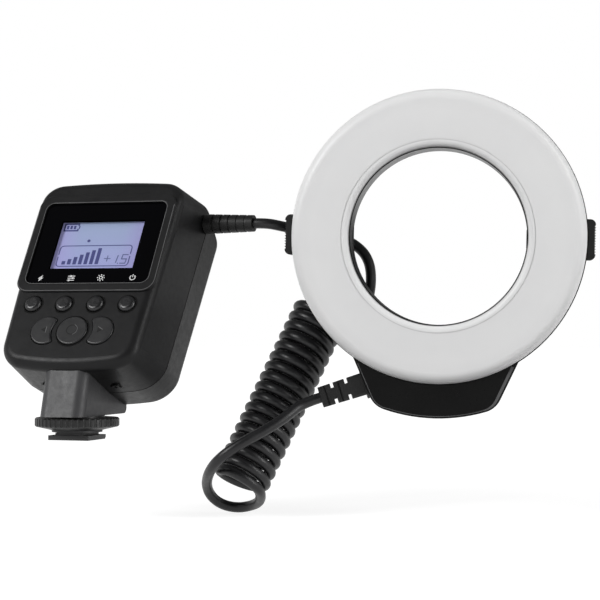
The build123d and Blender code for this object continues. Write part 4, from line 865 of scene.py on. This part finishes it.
floor_paint, floor_tree, spare_shader = new_material("floor_paint")
floor_tree.nodes.remove(spare_shader)
paint = add_node(floor_tree, "BsdfDiffuse", {"Color": (*grey(paint_grey), 1)}).outputs["BSDF"]
floor_place = add_node(floor_tree, "TexCoord", {}).outputs["Object"]
floor_reach = add_node(floor_tree, "VectorMath", {0: floor_place}, "LENGTH").outputs["Value"]
glow = add_node(floor_tree, "Emission", {
    "Strength": carry_over(floor_tree, floor_reach, glow_reach, glow_strength, smooth=True),
}).outputs["Emission"]
seen_paint = add_node(floor_tree, "AddShader", {0: paint, 1: glow}).outputs["Shader"]
floor_path = add_node(floor_tree, "LightPath", {}).outputs
seen = work_out(floor_tree, "MAXIMUM", floor_path["Is Camera Ray"], floor_path["Is Glossy Ray"])
seen = work_out(floor_tree, "MAXIMUM", seen, floor_path["Is Transmission Ray"])
floor_mix = add_node(floor_tree, "MixShader", {"Fac": seen, 1: paint, 2: seen_paint}).outputs["Shader"]
set_inputs(floor_tree, floor_tree.nodes["Material Output"], {"Surface": floor_mix})
floor_mesh.materials.append(floor_paint)
print("floor at", round(floor_level, 4))

# %% [markdown]
# ## The room's light
# The world is a plain white room for the camera. For the light that falls on the object it is weaker, so that
# colours render as they are written. What is mirrored is white at the sides and dims overhead, in front and
# behind, as in a studio lit from its sides. This keeps the leaning window and the glossy block black.

# %% World
white_room, soft_light = 1, 0.22
ceiling_span, ceiling_dim = (0.10, 0.75), (0.95, 0.22)
front_span, front_dim = (-0.95, -0.15), (0.12, 1.0)
back_span, back_dim = (0.70, 0.92), (1.0, 0.22)

world = bpy.data.worlds.new("studio")
bpy.context.scene.world = world
world.use_nodes = True
sky = world.node_tree
sky.nodes.clear()


def room(strength):
    """Socket of a plain white surrounding."""
    return add_node(sky, "Background", {"Color": (*grey(1), 1), "Strength": strength}).outputs["Background"]


sky_way = add_node(sky, "TexCoord", {}).outputs["Generated"]
sky_parts = add_node(sky, "SeparateXYZ", {"Vector": sky_way}).outputs
overhead = carry_over(sky, sky_parts["Z"], ceiling_span, ceiling_dim, smooth=True)
in_front = carry_over(sky, sky_parts["Y"], front_span, front_dim, smooth=True)
behind = carry_over(sky, sky_parts["Y"], back_span, back_dim, smooth=True)
mirrored = room(work_out(sky, "MULTIPLY", overhead, work_out(sky, "MULTIPLY", in_front, behind)))
sky_path = add_node(sky, "LightPath", {}).outputs
unseen = add_node(sky, "MixShader", {"Fac": sky_path["Is Glossy Ray"], 1: room(soft_light), 2: mirrored})
straight = work_out(sky, "MAXIMUM", sky_path["Is Camera Ray"], sky_path["Is Transmission Ray"])
around = add_node(sky, "MixShader", {"Fac": straight, 1: unseen.outputs["Shader"], 2: room(white_room)})
add_node(sky, "OutputWorld", {"Surface": around.outputs["Shader"]})
print("world nodes", len(sky.nodes))

# %% [markdown]
# Three soft boxes shape the black plastic: a large one from the upper left, a tall narrow one that draws a
# line down the right side, and a weak one from low in front. Each is aimed at the middle of the object.

# %% Soft boxes
aim = Vector((0.085, 0.04, 0.06))


def soft_box(name, place, width, height, power):
    """Rectangular lamp that looks at the object."""
    light = bpy.data.lights.new(name, "AREA")
    light.shape = "RECTANGLE"
    light.size = width
    light.size_y = height
    light.energy = power
    lamp_object = bpy.data.objects.new(name, light)
    bpy.context.scene.collection.objects.link(lamp_object)
    way = aim - Vector(place)
    lamp_object.matrix_world = Matrix.Translation(place) @ way.to_track_quat("-Z", "Y").to_matrix().to_4x4()


soft_box("key_box", (-0.75, -1.00, 0.80), width=0.6, height=0.6, power=15.5)
soft_box("side_box", (1.10, -0.10, 0.40), width=0.25, height=0.9, power=6.0)
soft_box("low_box", (0.30, -1.10, -0.02), width=0.9, height=0.3, power=0.35)
print("lamps", len(bpy.data.lights))

# %% [markdown]
# The Standard view keeps colours as they are written.

# %% Finish
bpy.context.scene.view_settings.view_transform = "Standard"
